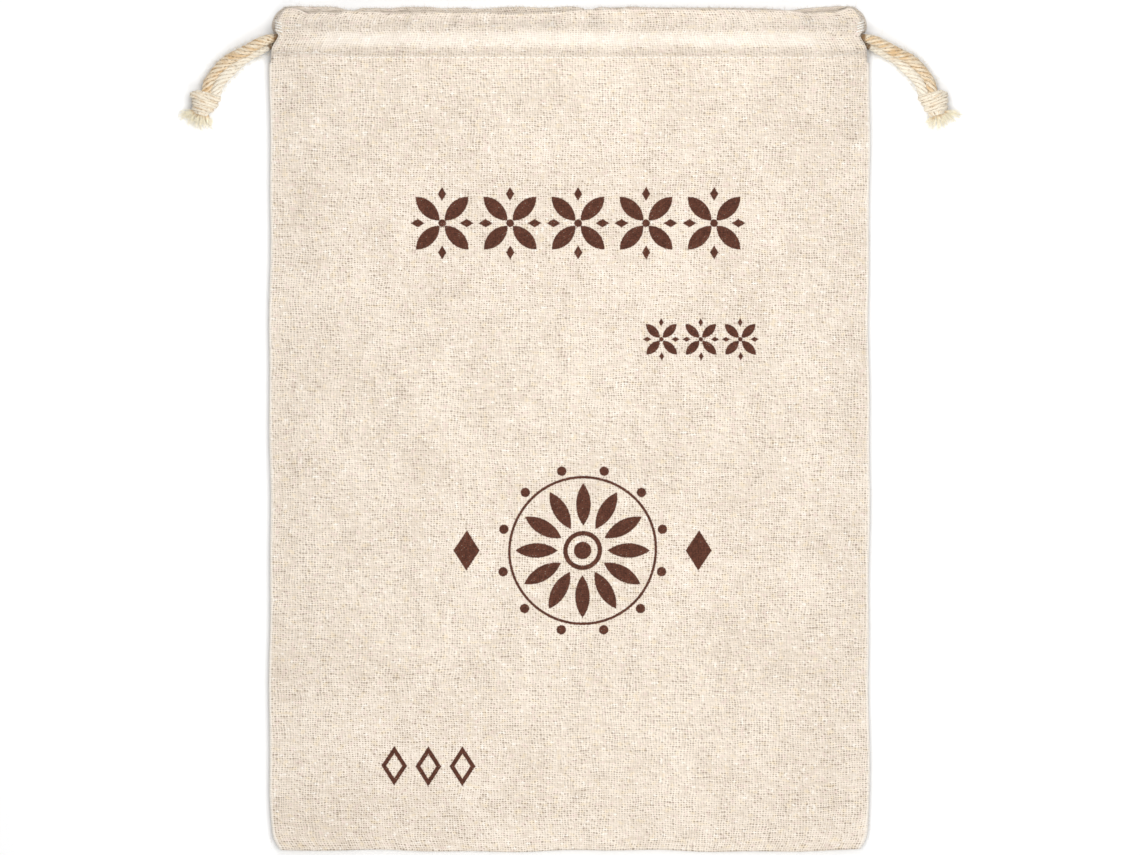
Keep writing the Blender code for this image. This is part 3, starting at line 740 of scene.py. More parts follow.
STITCH_LINE = {
    "across": (-150.0, -125.0, -109.0, 128.0, 140.0, 150.0),
    "y": (188.0, 187.7, 185.4, 185.3, 187.6, 188.1),
}
STITCH_DENT = 0.3
STITCH_DENT_HALF = 0.9


def eased(table, at):
    """The table's second column at places along its first, on a smooth line that doesn't overshoot."""
    places, values = (np.array(column, float) for column in table.values())
    steps = np.diff(places)
    slopes = np.diff(values) / steps
    product = slopes[:-1] * slopes[1:]
    total = np.where(product > 0.0, slopes[:-1] + slopes[1:], 1.0)
    ends = np.concatenate(([slopes[0]], np.where(product > 0.0, 2.0 * product / total, 0.0), [slopes[-1]]))
    at = np.clip(at, places[0], places[-1])
    i = np.clip(np.searchsorted(places, at) - 1, 0, len(steps) - 1)
    t = (at - places[i]) / steps[i]
    rise = values[i] + (values[i + 1] - values[i]) * t * t * (3.0 - 2.0 * t)
    return rise + steps[i] * (ends[i] * t * (1.0 - t)**2 - ends[i + 1] * t * t * (1.0 - t))


def wave(table, at, phase):
    turns = zip(*table.values(), (phase, 2.0 * phase + 1.0))
    return sum(h * np.sin(2.0 * math.pi * at / length + p) for length, h, p in turns)


def channel_level(x):
    return eased(CHANNEL_LEVEL, np.abs(x))


def front_sheet_height(x, y):
    """The middle of the front panel's cloth below the channel, with its creases."""
    crown = smooth((BAG_WIDTH / 2 - np.abs(x)) / EDGE_SLOPE) * smooth((y + BAG_LENGTH / 2) / EDGE_SLOPE)
    body = FRONT_EDGE_HEIGHT + (FRONT_BODY_HEIGHT - FRONT_EDGE_HEIGHT) * crown
    for along_x, along_y, height in zip(*SHEET_WAVES.values()):
        body = body + height * crown * np.sin(2.0 * math.pi * (x / along_x + y / along_y))
    stitch_y = BAG_LENGTH / 2 - STITCH_BELOW_TOP
    ramp = smooth((y - RAMP_START) / (stitch_y - RAMP_START))
    at_stitch = channel_level(x) + eased(CHANNEL_RISE, STITCH_BELOW_TOP)
    return body + (at_stitch - body) * ramp


def crease_height(x, y):
    """The soft creases, each fading out at its ends and towards the bag's edges."""
    total = np.zeros_like(x)
    for start, end, half_width, height in zip(*CREASES.values()):
        start, end = np.array(start), np.array(end)
        run = end - start
        t = np.clip(((x - start[0]) * run[0] + (y - start[1]) * run[1]) / (run @ run), 0.0, 1.0)
        bend = 0.35 * half_width * np.sin(5.0 * t + start[0])
        from_line = np.hypot(x - start[0] - run[0] * t + bend, y - start[1] - run[1] * t)
        total += height * np.exp(-(from_line / half_width)**2) * np.sin(math.pi * (0.08 + 0.84 * t))
    return total * smooth((BAG_WIDTH / 2 - 3.0 - np.abs(x)) / 12.0)


def gather_height(x, y):
    total = np.zeros_like(x)
    for across, half_width, depth in zip(*GATHERS.values()):
        lean = across + 0.18 * (y - GATHER_MIDDLE) * math.sin(across)
        total -= depth * np.exp(-((x - lean) / half_width)**2)
    return total * np.exp(-((y - GATHER_MIDDLE) / GATHER_HALF_HEIGHT)**2)


def dent_height(x, y):
    return -STITCH_DENT * np.exp(-((y - eased(STITCH_LINE, x)) / STITCH_DENT_HALF)**2)


def steps_between(start, end, step):
    return np.linspace(start, end, max(2, round(abs(end - start) / step) + 1))


BOTTOM_Y = -BAG_LENGTH / 2 + ROLL_RADIUS + SOLID_CLOTH / 2
TOP_Y = BAG_LENGTH / 2
EDGE_X = BAG_WIDTH / 2 - ROLL_RADIUS - SOLID_CLOTH / 2
body_y = steps_between(BOTTOM_Y, SEAM_TOP, BODY_STEP)
columns = steps_between(-1.0, 1.0, COLUMN_STEP / EDGE_X)


def row_table(fold_shorter, outline):
    """A panel's rows from its bottom to the inner end of its hem: y, side inset, and what part it is."""
    fold_y = TOP_Y - fold_shorter - FOLD_RADIUS - SOLID_CLOTH / 2
    hem_y = TOP_Y - CHANNEL_RISE["below_top"][-1]
    outer_y = steps_between(hem_y, fold_y - FOLD_START_GAP, CHANNEL_STEP)
    inner_y = steps_between(TOP_Y - CHANNEL_RISE["below_top"][1], hem_y, CHANNEL_STEP)
    share = np.linspace(0.0, 1.0, FOLD_STEPS + 1)
    fold = fold_y + FOLD_RADIUS * np.sin(math.pi * share)
    y = np.concatenate((body_y, outer_y, fold, inner_y))
    outer_inset = eased(outline, TOP_Y - outer_y)
    inset = np.concatenate((eased(BOTTOM_OUTLINE, body_y - BOTTOM_Y), outer_inset,
                            outer_inset[-1] + FOLD_START_INSET + eased(FOLD_TABLE, share),
                            np.full(len(inner_y), HEM_SIDE_INSET)))
    part = np.repeat((0, 1, 2, 3), (len(body_y), len(outer_y), len(fold), len(inner_y)))
    turn = np.zeros(len(y))
    turn[part == 2] = share
    return y, inset, part, turn


def panel_grid(y, inset, fold_line, fold_y):
    """The x and y of every grid point of a panel, with its wavy sides, bottom and mouth."""
    left = -(EDGE_X + wave(SIDE_WAVES, y, SIDE_PHASES[-1.0]) - inset)
    right = EDGE_X + wave(SIDE_WAVES, y, SIDE_PHASES[1.0]) - inset
    x = left[:, None] + (right - left)[:, None] * (columns[None, :] + 1.0) / 2
    near_bottom = 1.0 - smooth((y - BOTTOM_Y) / BOTTOM_WAVE_REACH)[:, None]
    near_mouth = smooth((y - MOUTH_WAVE_START) / (fold_y - MOUTH_WAVE_START))[:, None]
    lift = eased(CORNER_LIFT, EDGE_X - np.abs(x)) + wave(BOTTOM_WAVES, x, SEAM_PHASE)
    shift = near_bottom * lift + near_mouth * (eased(fold_line, x) - fold_y)
    return x, y[:, None] + shift


def laid_along(points):
    """Each row's place along the flat cloth, measured up the panel's middle."""
    return run_lengths(points[:, points.shape[1] // 2]) + BOTTOM_Y


def cloth_panel(name, points, along, roll, part):
    """A panel's mesh: its grid, and the rolled edges and allowances round the seamed part of it."""
    flat = np.stack(np.broadcast_arrays(columns[None, :] * EDGE_X, along[:, None]), -1)
    seamed = int((part == 0).sum())

    def corner_share(distance):
        return np.maximum(0.0, 1.0 - distance / CORNER_MITRE)

    from_left = (columns + 1.0) * EDGE_X
    slant = corner_share(2.0 * EDGE_X - from_left) - corner_share(from_left)
    rise = -corner_share(body_y - BOTTOM_Y)
    sides = np.ones(seamed - 1)
    starts = np.concatenate((points[seamed - 1:0:-1, 0], points[0], points[1:seamed, -1]))
    laid = np.concatenate((flat[seamed - 1:0:-1, 0], flat[0], flat[1:seamed, -1]))
    out_x = np.concatenate((-sides, slant, sides))
    out_y = np.concatenate((rise[:0:-1], -np.ones(len(columns)), rise[1:]))
    turn = math.pi * np.linspace(0.0, 1.0, ROLL_STEPS + 1)
    inward = np.linspace(0.0, ALLOWANCE, ALLOWANCE_STEPS + 1)[1:]
    out = np.concatenate((ROLL_RADIUS * np.sin(turn), -inward))
    fall = np.concatenate(((ROLL_RADIUS + ROLL_DROP) * (1.0 - np.cos(turn)),
                           np.full(ALLOWANCE_STEPS, 2.0 * (ROLL_RADIUS + ROLL_DROP))))
    reach = np.concatenate((ROLL_RADIUS * turn, ROLL_RADIUS * math.pi + inward))
    direction = np.stack((out_x, out_y), -1)
    rim = np.zeros((len(out), len(starts), 3))
    rim[..., :2] = starts[None, :, :2] + out[:, None, None] * direction[None]
    rim[..., 2] = starts[None, :, 2] + roll * fall[:, None]
    rim_flat = laid[None] + reach[:, None, None] * direction[None]
    sheet_mesh = surface(name, points, flat)
    rim_mesh = surface(name + "_rim", rim.transpose(1, 0, 2), rim_flat.transpose(1, 0, 2))
    made = joined(name, [sheet_mesh, rim_mesh])
    if roll > 0.0:
        made.flip_normals()
    return made


def thick_cloth(obj):
    """Welds a panel to its rolled edges and gives the cloth its thickness."""
    weld = obj.modifiers.new("Weld the rolled edge", "WELD")
    weld.merge_threshold = WELD_DISTANCE * MM
    thickness = obj.modifiers.new("Cloth thickness", "SOLIDIFY")
    thickness.thickness = CLOTH * MM
    thickness.offset = 0.0


THREAD_ACROSS = 1.35
THREAD_ALONG = 1.07
LINEN_PALE = (0.735, 0.655, 0.565)
LINEN_DEEP = (0.575, 0.492, 0.405)
LINEN_WHITE = (0.80, 0.76, 0.70)
LINEN_YELLOW = (0.70, 0.575, 0.385)
LINEN_PINK = (0.66, 0.52, 0.47)
# The painted shade in the weave's pinholes
PINHOLE_SHADE_BROWN = (0.20, 0.145, 0.10)
RIDGE_MIDDLE = 194.6
RIDGE_HALF = 3.4
RIDGE_ENDS = (136.0, 118.0)
BACK_RIDGE_SHARE = 0.3
GATHER_ABOVE_RIDGE = 9.6
GATHER_REACH = (5.6, 2.4)
HEADER_PAINTED_LIGHT = 0.03
EDGE_PAINTED_LIGHT = 0.8
EDGE_PAINTED_LIGHT_HALF = 0.8
WANDER_LENGTH = 26.0
WANDER_THREADS = (3.2, 3.0)
GATHER_SHADE = {
    "across": (-126.0, -82.2, -58.7, -38.2, -22.7, -9.7, 12.8, 61.0, 84.0, 121.0),
    "half_width": (4.0, 2.0, 2.4, 2.0, 3.4, 6.5, 6.5, 3.0, 5.0, 4.0),
    "depth": (0.05, 0.10, 0.09, 0.08, 0.09, 0.10, 0.09, 0.07, 0.04, 0.08),
}


def white_noise(finish, across, along):
    at = finish.node("CombineXYZ", {}, {0: across, 1: along})
    return finish.node("TexWhiteNoise", {"noise_dimensions": "2D"}, {"Vector": at})


def linen_finish(name, tone, ridge_along, ridge_share, ink=None):
    """Plain weave worked out thread by thread: crossings, pinholes, streaky threads, slubs and tints, with
    painted shade low in the weave, in the pinholes and the gathers, and painted light on the ridge, the
    header and the side edges.
    """
    finish = Finish(name, Roughness=0.92, Sheen_Weight=0.1, Sheen_Roughness=0.6, Specular_IOR_Level=0.12)
    across, along = flat_place(finish)
    wander = finish.node("TexNoise", {"noise_dimensions": "2D"}, {
        "Vector": finish.node("CombineXYZ", {}, {0: across / WANDER_LENGTH, 1: along / WANDER_LENGTH}),
        "Scale": 1.0, "Detail": 4.0, "Roughness": 0.65}, output=1)
    wander = finish.node("SeparateXYZ", {}, {0: wander})
    warp = across / THREAD_ACROSS + wander * WANDER_THREADS[0]
    weft = along / THREAD_ALONG + wander.also(1) * WANDER_THREADS[1]
    warp_count = warp.math("FLOOR")
    weft_count = weft.math("FLOOR")
    warp_wave = (warp * math.pi).math("SINE")
    weft_wave = (weft * math.pi).math("SINE")
    crossing = warp_wave * weft_wave
    height = (abs(warp_wave) * (crossing * 0.42 + 0.54)).math(
        "MAXIMUM", abs(weft_wave) * (crossing * -0.42 + 0.62))

    corner_across = (warp + 0.5).math("FLOOR")
    corner_along = (weft + 0.5).math("FLOOR")
    corner = white_noise(finish, corner_across, corner_along)
    paired = (corner_along * 0.5).math("FRACT") * 2.0
    to_warp = (warp - corner_across) * THREAD_ACROSS
    to_weft = (weft - corner_along) * THREAD_ALONG * 1.3
    from_corner = (to_warp * to_warp + to_weft * to_weft).math("SQRT") * 0.45
    from_corner = from_corner + abs(to_warp).math("MAXIMUM", abs(to_weft)) * 0.6
    open_patch = noise(finish, across / 9.0, along / 13.0, 3.0)
    size = (corner * corner * 0.40 + open_patch * 0.50 - 0.05) * (paired * 0.30 + 0.80)
    hole = 1.0 - (from_corner / size).between(0.50, 1.15)

    cell = white_noise(finish, warp_count, weft_count)
    warp_own = noise(finish, warp_count * 7.31, along / 9.0)
    weft_own = noise(finish, weft_count * 5.17 + 40.0, across / 9.0)
    slub_along = noise(finish, weft_count * 3.3 + 9.0, across / 5.0, 1.0).between(0.71, 0.80)
    slub_up = noise(finish, warp_count * 2.7 + 90.0, along / 6.0, 1.0).between(0.72, 0.82)
    patch = noise(finish, across / 34.0 + 7.0, along / 44.0, 3.0)
    blotch = noise(finish, across / 3.1 + 70.0, along / 2.5, 2.0)
    speckle = noise(finish, across / 0.9, along / 0.75, 1.0)
    shade = (warp_own * 0.6 + weft_own * 1.5 + patch + blotch * 1.4 + speckle * 0.8 + cell * 0.55) / 5.85
    colour = mixed(finish, shade.between(0.34, 0.64), LINEN_DEEP, LINEN_PALE)
    tint = noise(finish, across / 4.0 + 60.0, along / 3.0, 1.0)
    colour = mixed(finish, tint.between(0.58, 0.80) * 0.4, colour, LINEN_YELLOW)
    colour = mixed(finish, tint.between(0.42, 0.20) * 0.45, colour, LINEN_PINK)
    colour = mixed(finish, slub_along * 0.6, colour, LINEN_WHITE)
    colour = mixed(finish, slub_up * 0.5, colour, LINEN_WHITE)
    # Painted highlight along the crest of the channel where the cords bulge it.
    ridge_highlight = abs(along - ridge_along + (blotch - 0.5) * 2.0).between(RIDGE_HALF * 1.5, RIDGE_HALF * 0.25)
    ridge_highlight = ridge_highlight * abs(across).between(*RIDGE_ENDS) * ridge_share
    ridge_highlight = ridge_highlight * (noise(finish, across / 13.0, along / 6.0 + 5.0) * 1.1 + 0.25)
    # Painted shade in the pinholes, with less of it on the ridge's painted highlight.
    colour = mixed(finish, hole * (0.72 - ridge_highlight * 0.5), colour, PINHOLE_SHADE_BROWN)
    colour = mixed(finish, ridge_highlight * 0.36, colour, LINEN_WHITE)
    # Painted light along both side edges, where the rolled cloth turns away from the lamps.
    painted_edge_light = abs(across).between(EDGE_X - EDGE_PAINTED_LIGHT_HALF, EDGE_X + EDGE_PAINTED_LIGHT_HALF)
    colour = mixed(finish, painted_edge_light * EDGE_PAINTED_LIGHT, colour, LINEN_WHITE)
    # Painted light over the header, and painted shade in the gathers' troughs, in the band above the ridge.
    painted_shade_and_light = -HEADER_PAINTED_LIGHT
    uneven = (blotch - 0.5) * 2.0
    for middle, half_width, depth in zip(*GATHER_SHADE.values()):
        trough = abs(across - middle + uneven).between(half_width * 1.5, half_width * 0.2)
        painted_shade_and_light = trough * depth + painted_shade_and_light
    painted_shade_and_light = painted_shade_and_light * abs(along - ridge_along - GATHER_ABOVE_RIDGE).between(*GATHER_REACH)
    # Colour darkens where the weave lies low: painted shade between the threads.
    colour = shaded(finish, colour, (height * 0.16 + paired * 0.02 + 0.875) * tone - painted_shade_and_light * ridge_share)
    if ink:
        cover = ink(finish, across, along, height, corner)
        # The ink's tone varies at random, and is darker where the weave lies low: painted shade.
        inked = shaded(finish, INK_BROWN, speckle * 1.1 + cell * 0.4 + height * 0.5 - 0.05)
        colour = mixed(finish, cover, colour, inked)
    return finish.painted(colour, height + slub_along * 0.3 + speckle * 0.35 + cell * 0.25, 0.6, 0.2)


# The print on the front: brown ink in a traditional block-print manner. A row of four-petalled
# flowers stands at the top, a smaller row below it to the right, a round flower under the middle
# and three plain lozenges at the lower left.
ROW_CENTRE = (4.2, 102.5)
ROW_PITCH = 34.0
ROW_FLOWERS = 5
SMALL_ROW_CENTRE = (66.0, 44.5)
SMALL_SHARE = 0.58
SMALL_FLOWERS = 3
ROW_PETAL = {"out": 0.30, "half_length": 0.245, "half_width": 0.105}
ROW_HEART = 0.055
ROW_LOZENGE = {"above": 0.43, "beside": 0.36, "long": 0.10, "short": 0.06}
ROUND_CENTRE = (6.5, -61.0)
ROUND_PETALS = 12
ROUND_PETAL = {"out": 23.0, "half_length": 10.5, "half_width": 3.6}
ROUND_DOT = {"out": 41.0, "radius": 2.3}
ROUND_HEART = 4.3
ROUND_RINGS = {"radius": (8.6, 36.6), "half_line": (1.1, 0.6)}
SIDE_LOZENGE = {"out": 58.0, "half_width": 6.5, "half_height": 10.0}
LOZENGE_CENTRE = (-70.5, -168.5)
LOZENGE_PITCH = 17.0
LOZENGE_SIZE = (5.2, 8.0)
LOZENGE_HALF_LINE = 1.0
LOZENGES = 3
INK_SOFTNESS = 0.22
INK_RAGGED = 0.55
INK_ON_THREADS = 0.12
INK_BROWN = (0.076, 0.0255, 0.0145)


def petal(along, across, half_length, half_width):
    """How far a point lies outside a pointed petal, in millimetres."""
    radius = (half_length**2 + half_width**2) / (2.0 * half_width)
    beside = abs(across) + (radius - half_width)
    return (along * along + beside * beside).math("SQRT") - radius


def lozenge(across, along, half_width, half_height):
    return (abs(across) / half_width + abs(along) / half_height - 1.0) * (
        half_width * half_height / math.hypot(half_width, half_height))


def dot(across, along, radius):
    return (across * across + along * along).math("SQRT") - radius


def in_row(across, pitch, count):
    """A place from its own repeat's middle in a row of an odd count, and how far past the row it is."""
    return (across + pitch / 2).math("FLOORED_MODULO", pitch) - pitch / 2, abs(across) - 0.5 * pitch * count


def flower_row(across, along, pitch, count):
    """Four-petalled flowers in a row, with a lozenge above and below each gap."""
    own, outside = in_row(across, pitch, count)
    u, v = abs(own), abs(along)
    slope = math.sqrt(0.5)
    outward, sideways = (u + v) * slope, (u - v) * slope
    out, half_length, half_width = (share * pitch for share in ROW_PETAL.values())
    above, beside, long, short = (share * pitch for share in ROW_LOZENGE.values())
    flower = petal(outward - out, sideways, half_length, half_width)
    flower = flower.math("MINIMUM", dot(own, along, ROW_HEART * pitch))
    flower = flower.math("MINIMUM", lozenge(own, v - above, short, long))
    flower = flower.math("MINIMUM", lozenge(u - beside, along, long, short))
    return flower.math("MAXIMUM", outside)


def round_flower(across, along):
    """A round flower of pointed petals, with a ring, a ring of dots and a lozenge at either side."""
    out = (across * across + along * along).math("SQRT")
    turn = along.math("ARCTAN2", across)
    step = 2.0 * math.pi / ROUND_PETALS
    own = (turn + step / 2).math("FLOORED_MODULO", step) - step / 2
    between = turn.math("FLOORED_MODULO", step) - step / 2
    petal_out, half_length, half_width = ROUND_PETAL.values()
    dot_out, dot_radius = ROUND_DOT.values()
    side_out, side_width, side_height = SIDE_LOZENGE.values()
    figure = petal(out * own.math("COSINE") - petal_out, out * own.math("SINE"), half_length, half_width)
    dots = dot(out * between.math("COSINE") - dot_out, out * between.math("SINE"), dot_radius)
    side = lozenge(abs(across) - side_out, along, side_width, side_height)
    rings = [abs(out - radius) - half_line for radius, half_line in zip(*ROUND_RINGS.values())]
    for part_of_it in (dots, side, out - ROUND_HEART, *rings):
        figure = figure.math("MINIMUM", part_of_it)
    return figure


def printed(finish, across, along, height, corner):
    """How much ink covers a point: solid on the raised threads, broken at the edges and in the weave."""
    row = flower_row(across - ROW_CENTRE[0], along - ROW_CENTRE[1], ROW_PITCH, ROW_FLOWERS)
    small = flower_row(across - SMALL_ROW_CENTRE[0], along - SMALL_ROW_CENTRE[1], ROW_PITCH * SMALL_SHARE,
                       SMALL_FLOWERS)
    flower = round_flower(across - ROUND_CENTRE[0], along - ROUND_CENTRE[1])
    own, outside = in_row(across - LOZENGE_CENTRE[0], LOZENGE_PITCH, LOZENGES)
    plain = abs(lozenge(own, along - LOZENGE_CENTRE[1], *LOZENGE_SIZE)) - LOZENGE_HALF_LINE
    figure = plain.math("MAXIMUM", outside)
    for design in (row, small, flower):
        figure = figure.math("MINIMUM", design)
    ragged = noise(finish, across / 0.7, along / 0.6, 1.0) - 0.5
    figure = figure + ragged * INK_RAGGED - height * INK_ON_THREADS
    pale = 1.0 - (corner * (1.0 - height)).between(0.62, 0.8) * 0.55
    return figure.between(INK_SOFTNESS, -INK_SOFTNESS) * pale


front_fold_y = TOP_Y - FRONT_SHORTER
row_y, row_inset, row_part, row_turn = row_table(FRONT_SHORTER, FRONT_MOUTH_OUTLINE)
x, y = panel_grid(row_y, row_inset, FRONT_FOLD_LINE, front_fold_y)
side_rise = eased(SIDE_RISE, np.abs(x))
base_y = np.broadcast_to(row_y[:, None], x.shape)
outer_z = channel_level(x) + eased(CHANNEL_RISE, TOP_Y - row_y)[:, None] * side_rise
fold_z = channel_level(x) + FOLD_RADIUS * (1.0 + np.cos(math.pi * row_turn))[:, None] * side_rise
z = np.select([(row_part == n)[:, None] for n in (0, 1, 2)],
              [front_sheet_height(x, base_y), outer_z, fold_z], channel_level(x))
facing = (row_part < 2)[:, None]
z = z + np.where(facing, crease_height(x, base_y) * smooth((CREASE_TOP - base_y) / CREASE_FADE), 0.0)
z = z + np.where(facing, gather_height(x, base_y) + dent_height(x, base_y), 0.0)
points = np.stack((x, y, z), -1)
along = laid_along(points)
ridge_along = float(along[np.argmin(np.where(row_part == 1, abs(row_y - RIDGE_MIDDLE), BAG_LENGTH))])
linen_front = linen_finish("Printed linen", 1.0, ridge_along, 1.0, printed)
front_cloth = piece("front_cloth", cloth_panel("front_cloth", points, along, -1.0, row_part), linen_front,
                    "linen_cloth", "front_panel")
thick_cloth(front_cloth)

# The back panel: the same cloth and channel, cut a little longer, so that a strip of its folded edge
# shows above the front one. It lies flat on the table, and its channel bulges to the inside.
# The back's linen is painted lighter than the front's: painted light on the same cloth.
BACK_PAINTED_LIGHT = 1.06
linen_back = linen_finish("Plain linen", BACK_PAINTED_LIGHT, RIDGE_MIDDLE, BACK_RIDGE_SHARE)
row_y, row_inset, row_part, row_turn = row_table(0.0, BACK_MOUTH_OUTLINE)
x, y = panel_grid(row_y, row_inset, BACK_FOLD_LINE, TOP_Y)
rise = eased(CHANNEL_RISE, TOP_Y - row_y)
turned = FOLD_RADIUS * (1.0 - np.cos(math.pi * row_turn))
back_z = np.select([row_part == 2, row_part == 3], [turned, rise], 0.0)
z = np.broadcast_to(SOLID_CLOTH / 2 + back_z[:, None], x.shape)
points = np.stack((x, y, z), -1)
back_cloth = piece("back_cloth", cloth_panel("back_cloth", points, laid_along(points), 1.0, row_part),
                   linen_back, "linen_cloth", "back_panel")
thick_cloth(back_cloth)

# The stitching: pale thread holds each channel down, closes both sides and the bottom between the two
# panels, and is whipped over the side at the ends of the channels, where a loose loop or two stands up.
STITCH_LENGTH = 2.3
STITCH_PITCH = 2.9
STITCH_REACH = 145.5
STITCH_STEPS = 7
STITCH_SIDES = 5
STITCH_BOW = 0.22
STITCH_WANDER = 0.07
STITCH_SLANT = 0.12
THREAD_RADIUS = 0.24
BACK_STITCH = {"height": 0.13, "radius": 0.1, "bow": 0.04}
SEAM_REACH = 143.0
SEAM_PITCH = 3.1
SEAM_RADIUS = 0.16
SEAM_HEIGHT = 2.75
SEAM_HALF = {"along": 0.45, "up": 0.75}
SEAM_OUT = 0.25
SEAM_HOLLOW = 0.35
THREAD_WHITE = (0.80, 0.77, 0.71)
WHIPPED = {
    "at_y": (203.2, 201.9, 200.7, 199.3),
    "inward": (2.9, 3.5, 3.3, 3.7),
    "slant": (-0.8, -1.1, -0.9, -1.2),
}
WHIP_STEPS = 9
WHIP_SIDES = 6
WHIP_RADIUS = 0.4
WHIP_TUCK = 0.85
WHIP_DROP = 9.0
LOOP_RADIUS = 0.12
LOOSE_LOOPS = {"x": (-145.6, -146.6), "y": (193.4, 204.6), "width": (0.9, 0.6), "length": (1.6, 1.2)}


def thread_finish():
    """Plain sewing thread, its two plies showing as a fine twist."""
    finish = Finish("Sewing thread", Roughness=0.7, Specular_IOR_Level=0.3)
    along, turn = flat_place(finish)
    # Darker between the thread's two plies: painted shade.
    twist = abs((along * 2.6 + turn * 2.0).math("SINE"))
    return finish.painted(shaded(finish, THREAD_WHITE, twist * 0.22 + 0.80))


def front_surface(x, y):
    """The top of the front cloth near the channel's stitching."""
    side_rise = eased(SIDE_RISE, np.abs(x))
    level = channel_level(x) + eased(CHANNEL_RISE, TOP_Y - y) * side_rise
    return level + dent_height(x, y) + CLOTH / 2


def stitches(random, x, y_of, z_of, length, radius, bow):
    """Short threads lying on the cloth, each going down into it at both ends."""
    share = np.linspace(0.0, 1.0, STITCH_STEPS)[None, :]
    each = (len(x), 1)
    at = x[:, None] + length * random.uniform(0.9, 1.06, each) * (share - 0.5)
    y = y_of(at) + random.normal(0.0, STITCH_WANDER, each)
    y = y + STITCH_SLANT * (share - 0.5) * random.normal(0.0, 1.0, each)
    z = z_of(at, y) + bow * (np.sin(math.pi * share) - 0.45)
    return np.stack((at, y, z), -1), np.full(at.shape, radius)


random = np.random.default_rng(52)
across = np.arange(-STITCH_REACH, STITCH_REACH, STITCH_PITCH)
front_row = stitches(random, across, lambda at: eased(STITCH_LINE, at), front_surface, STITCH_LENGTH,
                     THREAD_RADIUS, STITCH_BOW)
back_row = stitches(random, across, lambda at: np.full_like(at, TOP_Y - STITCH_BELOW_TOP),
                    lambda at, y: np.full_like(at, BACK_STITCH["height"]), STITCH_LENGTH,
                    BACK_STITCH["radius"], BACK_STITCH["bow"])
stitch_finish = thread_finish()
piece("channel_stitches_front", fibres("stitches", *front_row, STITCH_SIDES), stitch_finish, "linen_cloth")
piece("channel_stitches_back", fibres("stitches", *back_row, STITCH_SIDES), stitch_finish, "linen_cloth")

seam_lines = []
share = np.linspace(-1.0, 1.0, 5)[None, :]
lean = SEAM_HALF["along"] * share
height = SEAM_HEIGHT + SEAM_HALF["up"] * share
out = SEAM_OUT + SEAM_HOLLOW * share**2
for sign, phase in SIDE_PHASES.items():
    at = np.arange(BOTTOM_Y + 5.0, SEAM_TOP - 1.0, SEAM_PITCH)[:, None]
    x = EDGE_X + wave(SIDE_WAVES, at, phase) - eased(BOTTOM_OUTLINE, at - BOTTOM_Y) + out
    seam_lines.append(np.stack(np.broadcast_arrays(sign * x, at + lean, height), -1))
at = np.arange(-SEAM_REACH, SEAM_REACH, SEAM_PITCH)[:, None]
y = BOTTOM_Y + wave(BOTTOM_WAVES, at, SEAM_PHASE) - out
seam_lines.append(np.stack(np.broadcast_arrays(at + lean, y, height), -1))
seam_lines = np.concatenate(seam_lines)
seam_radii = np.full(seam_lines.shape[:2], SEAM_RADIUS)
piece("seam_stitches", fibres("stitches", seam_lines, seam_radii), stitch_finish, "linen_cloth")

share = np.linspace(0.0, 1.0, WHIP_STEPS)
whip_lines = []
whip_radii = []
for sign in (-1.0, 1.0):
    for at_y, inward, slant in zip(*WHIPPED.values()):
        edge = BAG_WIDTH / 2 - float(eased(FRONT_MOUTH_OUTLINE, TOP_Y - at_y)) - ROLL_RADIUS - 0.5
        x = edge - inward * (1.0 - share) + 0.35
        y = at_y + slant * (1.0 - share)
        z = front_surface(x, y) + 0.15 + 0.3 * np.sin(math.pi * share)
        z = z - WHIP_DROP * np.maximum(share - WHIP_TUCK, 0.0)
        whip_lines.append(np.stack((sign * x, y, z), -1))
        whip_radii.append(WHIP_RADIUS)
    for x, y, width, length in zip(*LOOSE_LOOPS.values()):
        turn = 2.0 * math.pi * share
        loop_x = x + width * np.sin(turn) * np.sin(turn / 2)
        loop_y = y - length * np.sin(turn / 2)
        loop_z = front_surface(loop_x, loop_y) + 0.2 + 0.3 * np.sin(turn / 2)
        whip_lines.append(np.stack((-sign * loop_x, loop_y, loop_z), -1))
        whip_radii.append(LOOP_RADIUS)
whip_radii = np.repeat(np.array(whip_radii)[:, None], WHIP_STEPS, 1)
piece("whipped_stitches", fibres("stitches", np.stack(whip_lines), whip_radii, WHIP_SIDES), stitch_finish,
      "linen_cloth")

# Loose fibres: linen sheds fine hairs along its folds and edges, and cotton cord is hairy all over.
HAIR_STEPS = 5
HAIR_TAPER = 0.6
HAIR_STRAY = 0.55
HAIR_REACH = {"fold": 1.4, "side": 1.0, "cord": 1.9}
LINEN_CURL = 0.5
COTTON_CURL = 0.8
FOLD_HAIRS = 2400
SIDE_HAIRS = 1500
CORD_HAIRS = 620
HAIR_RADIUS = 0.05
LINEN_HAIR = (0.62, 0.54, 0.44)
COTTON_HAIR = (0.74, 0.68, 0.56)


def hair_lines(random, roots, out, reach, curl):
    """Short curling hairs that leave their roots along the directions in out."""
    share = np.linspace(0.0, 1.0, HAIR_STEPS)[None, :, None]
    out = unit(out + random.normal(0.0, HAIR_STRAY, out.shape))[:, None]
    length = reach * random.uniform(0.35, 1.0, (len(roots), 1, 1))**1.5
    bend = random.normal(0.0, curl, (len(roots), 1, 3))
    lines = roots[:, None] + length * share * (out + bend * share)
    lines[..., 2] = np.maximum(lines[..., 2], 0.1)
    return lines


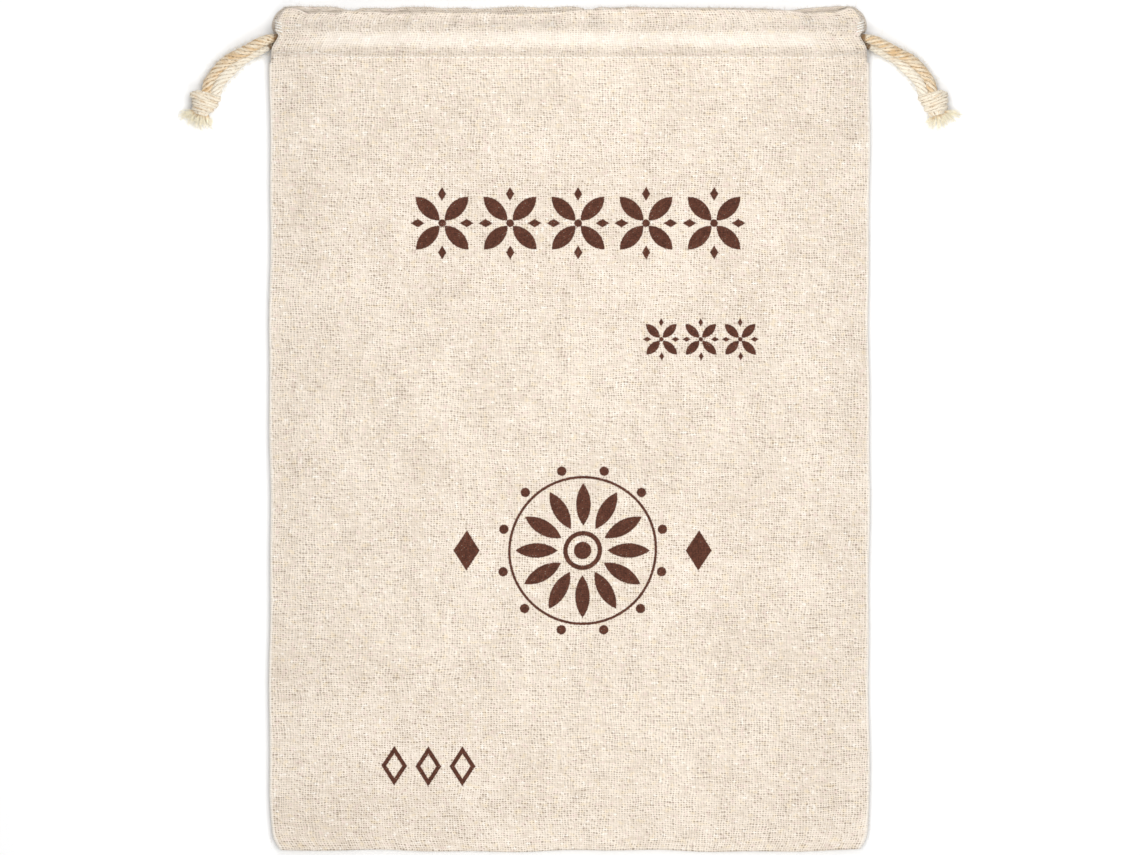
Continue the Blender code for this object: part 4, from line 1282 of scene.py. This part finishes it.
def hairs(name, lines, colour, slot):
    title = name.replace("_", " ").capitalize()
    finish = Finish(title, Base_Color=colour, Roughness=0.8, Specular_IOR_Level=0.2)
    taper = 1.0 - HAIR_TAPER * np.linspace(0.0, 1.0, HAIR_STEPS)
    piece(name, fibres(name, lines, HAIR_RADIUS * np.tile(taper, (len(lines), 1)), 3), finish, slot)


random = np.random.default_rng(77)
at = random.uniform(-SEAM_REACH, SEAM_REACH, FOLD_HAIRS)
turn = random.uniform(-0.5, 0.5, FOLD_HAIRS) * math.pi
back_y = eased(BACK_FOLD_LINE, at) - 0.9 + 0.5 * np.cos(turn)
back_fold = np.stack((at, back_y, 1.5 + np.sin(turn)), -1)
front_y = eased(FRONT_FOLD_LINE, at) - 0.7 + 0.3 * np.cos(turn)
front_z = channel_level(at) + FOLD_RADIUS + np.sin(turn)
front_fold = np.stack((at, front_y, front_z), -1)
roots = np.concatenate((back_fold, front_fold[::3]))
out = np.stack((np.zeros(len(roots)), np.ones(len(roots)), np.full(len(roots), 0.25)), -1)
fold_hairs = hair_lines(random, roots, out, HAIR_REACH["fold"], LINEN_CURL)
at = random.uniform(BOTTOM_Y, 196.0, SIDE_HAIRS)
side = np.sign(random.uniform(-1.0, 1.0, SIDE_HAIRS))
phase = np.where(side < 0.0, SIDE_PHASES[-1.0], SIDE_PHASES[1.0])
edge = EDGE_X + wave(SIDE_WAVES, at, phase) + 0.6
side_z = random.uniform(1.0, 4.6, SIDE_HAIRS)
roots = np.stack((side * edge, at, side_z), -1)
out = np.stack((side, np.zeros(SIDE_HAIRS), np.full(SIDE_HAIRS, 0.3)), -1)
side_hairs = hair_lines(random, roots, out, HAIR_REACH["side"], LINEN_CURL)
hairs("linen_hairs", np.concatenate((fold_hairs, side_hairs)), LINEN_HAIR, "linen_cloth")

cord_hairs = []
for route in strand_routes.values():
    at = random.integers(2, len(route) - 2, CORD_HAIRS)
    out = unit(np.cross(unit(route[at + 1] - route[at - 1]), random.normal(0.0, 1.0, (CORD_HAIRS, 3))))
    roots = route[at] + out * FREE_DIAMETER * 0.46
    cord_hairs.append(hair_lines(random, roots, out, HAIR_REACH["cord"], COTTON_CURL))
hairs("cotton_hairs", np.concatenate(cord_hairs), COTTON_HAIR, "cotton_cord")

bpy.context.view_layer.update()
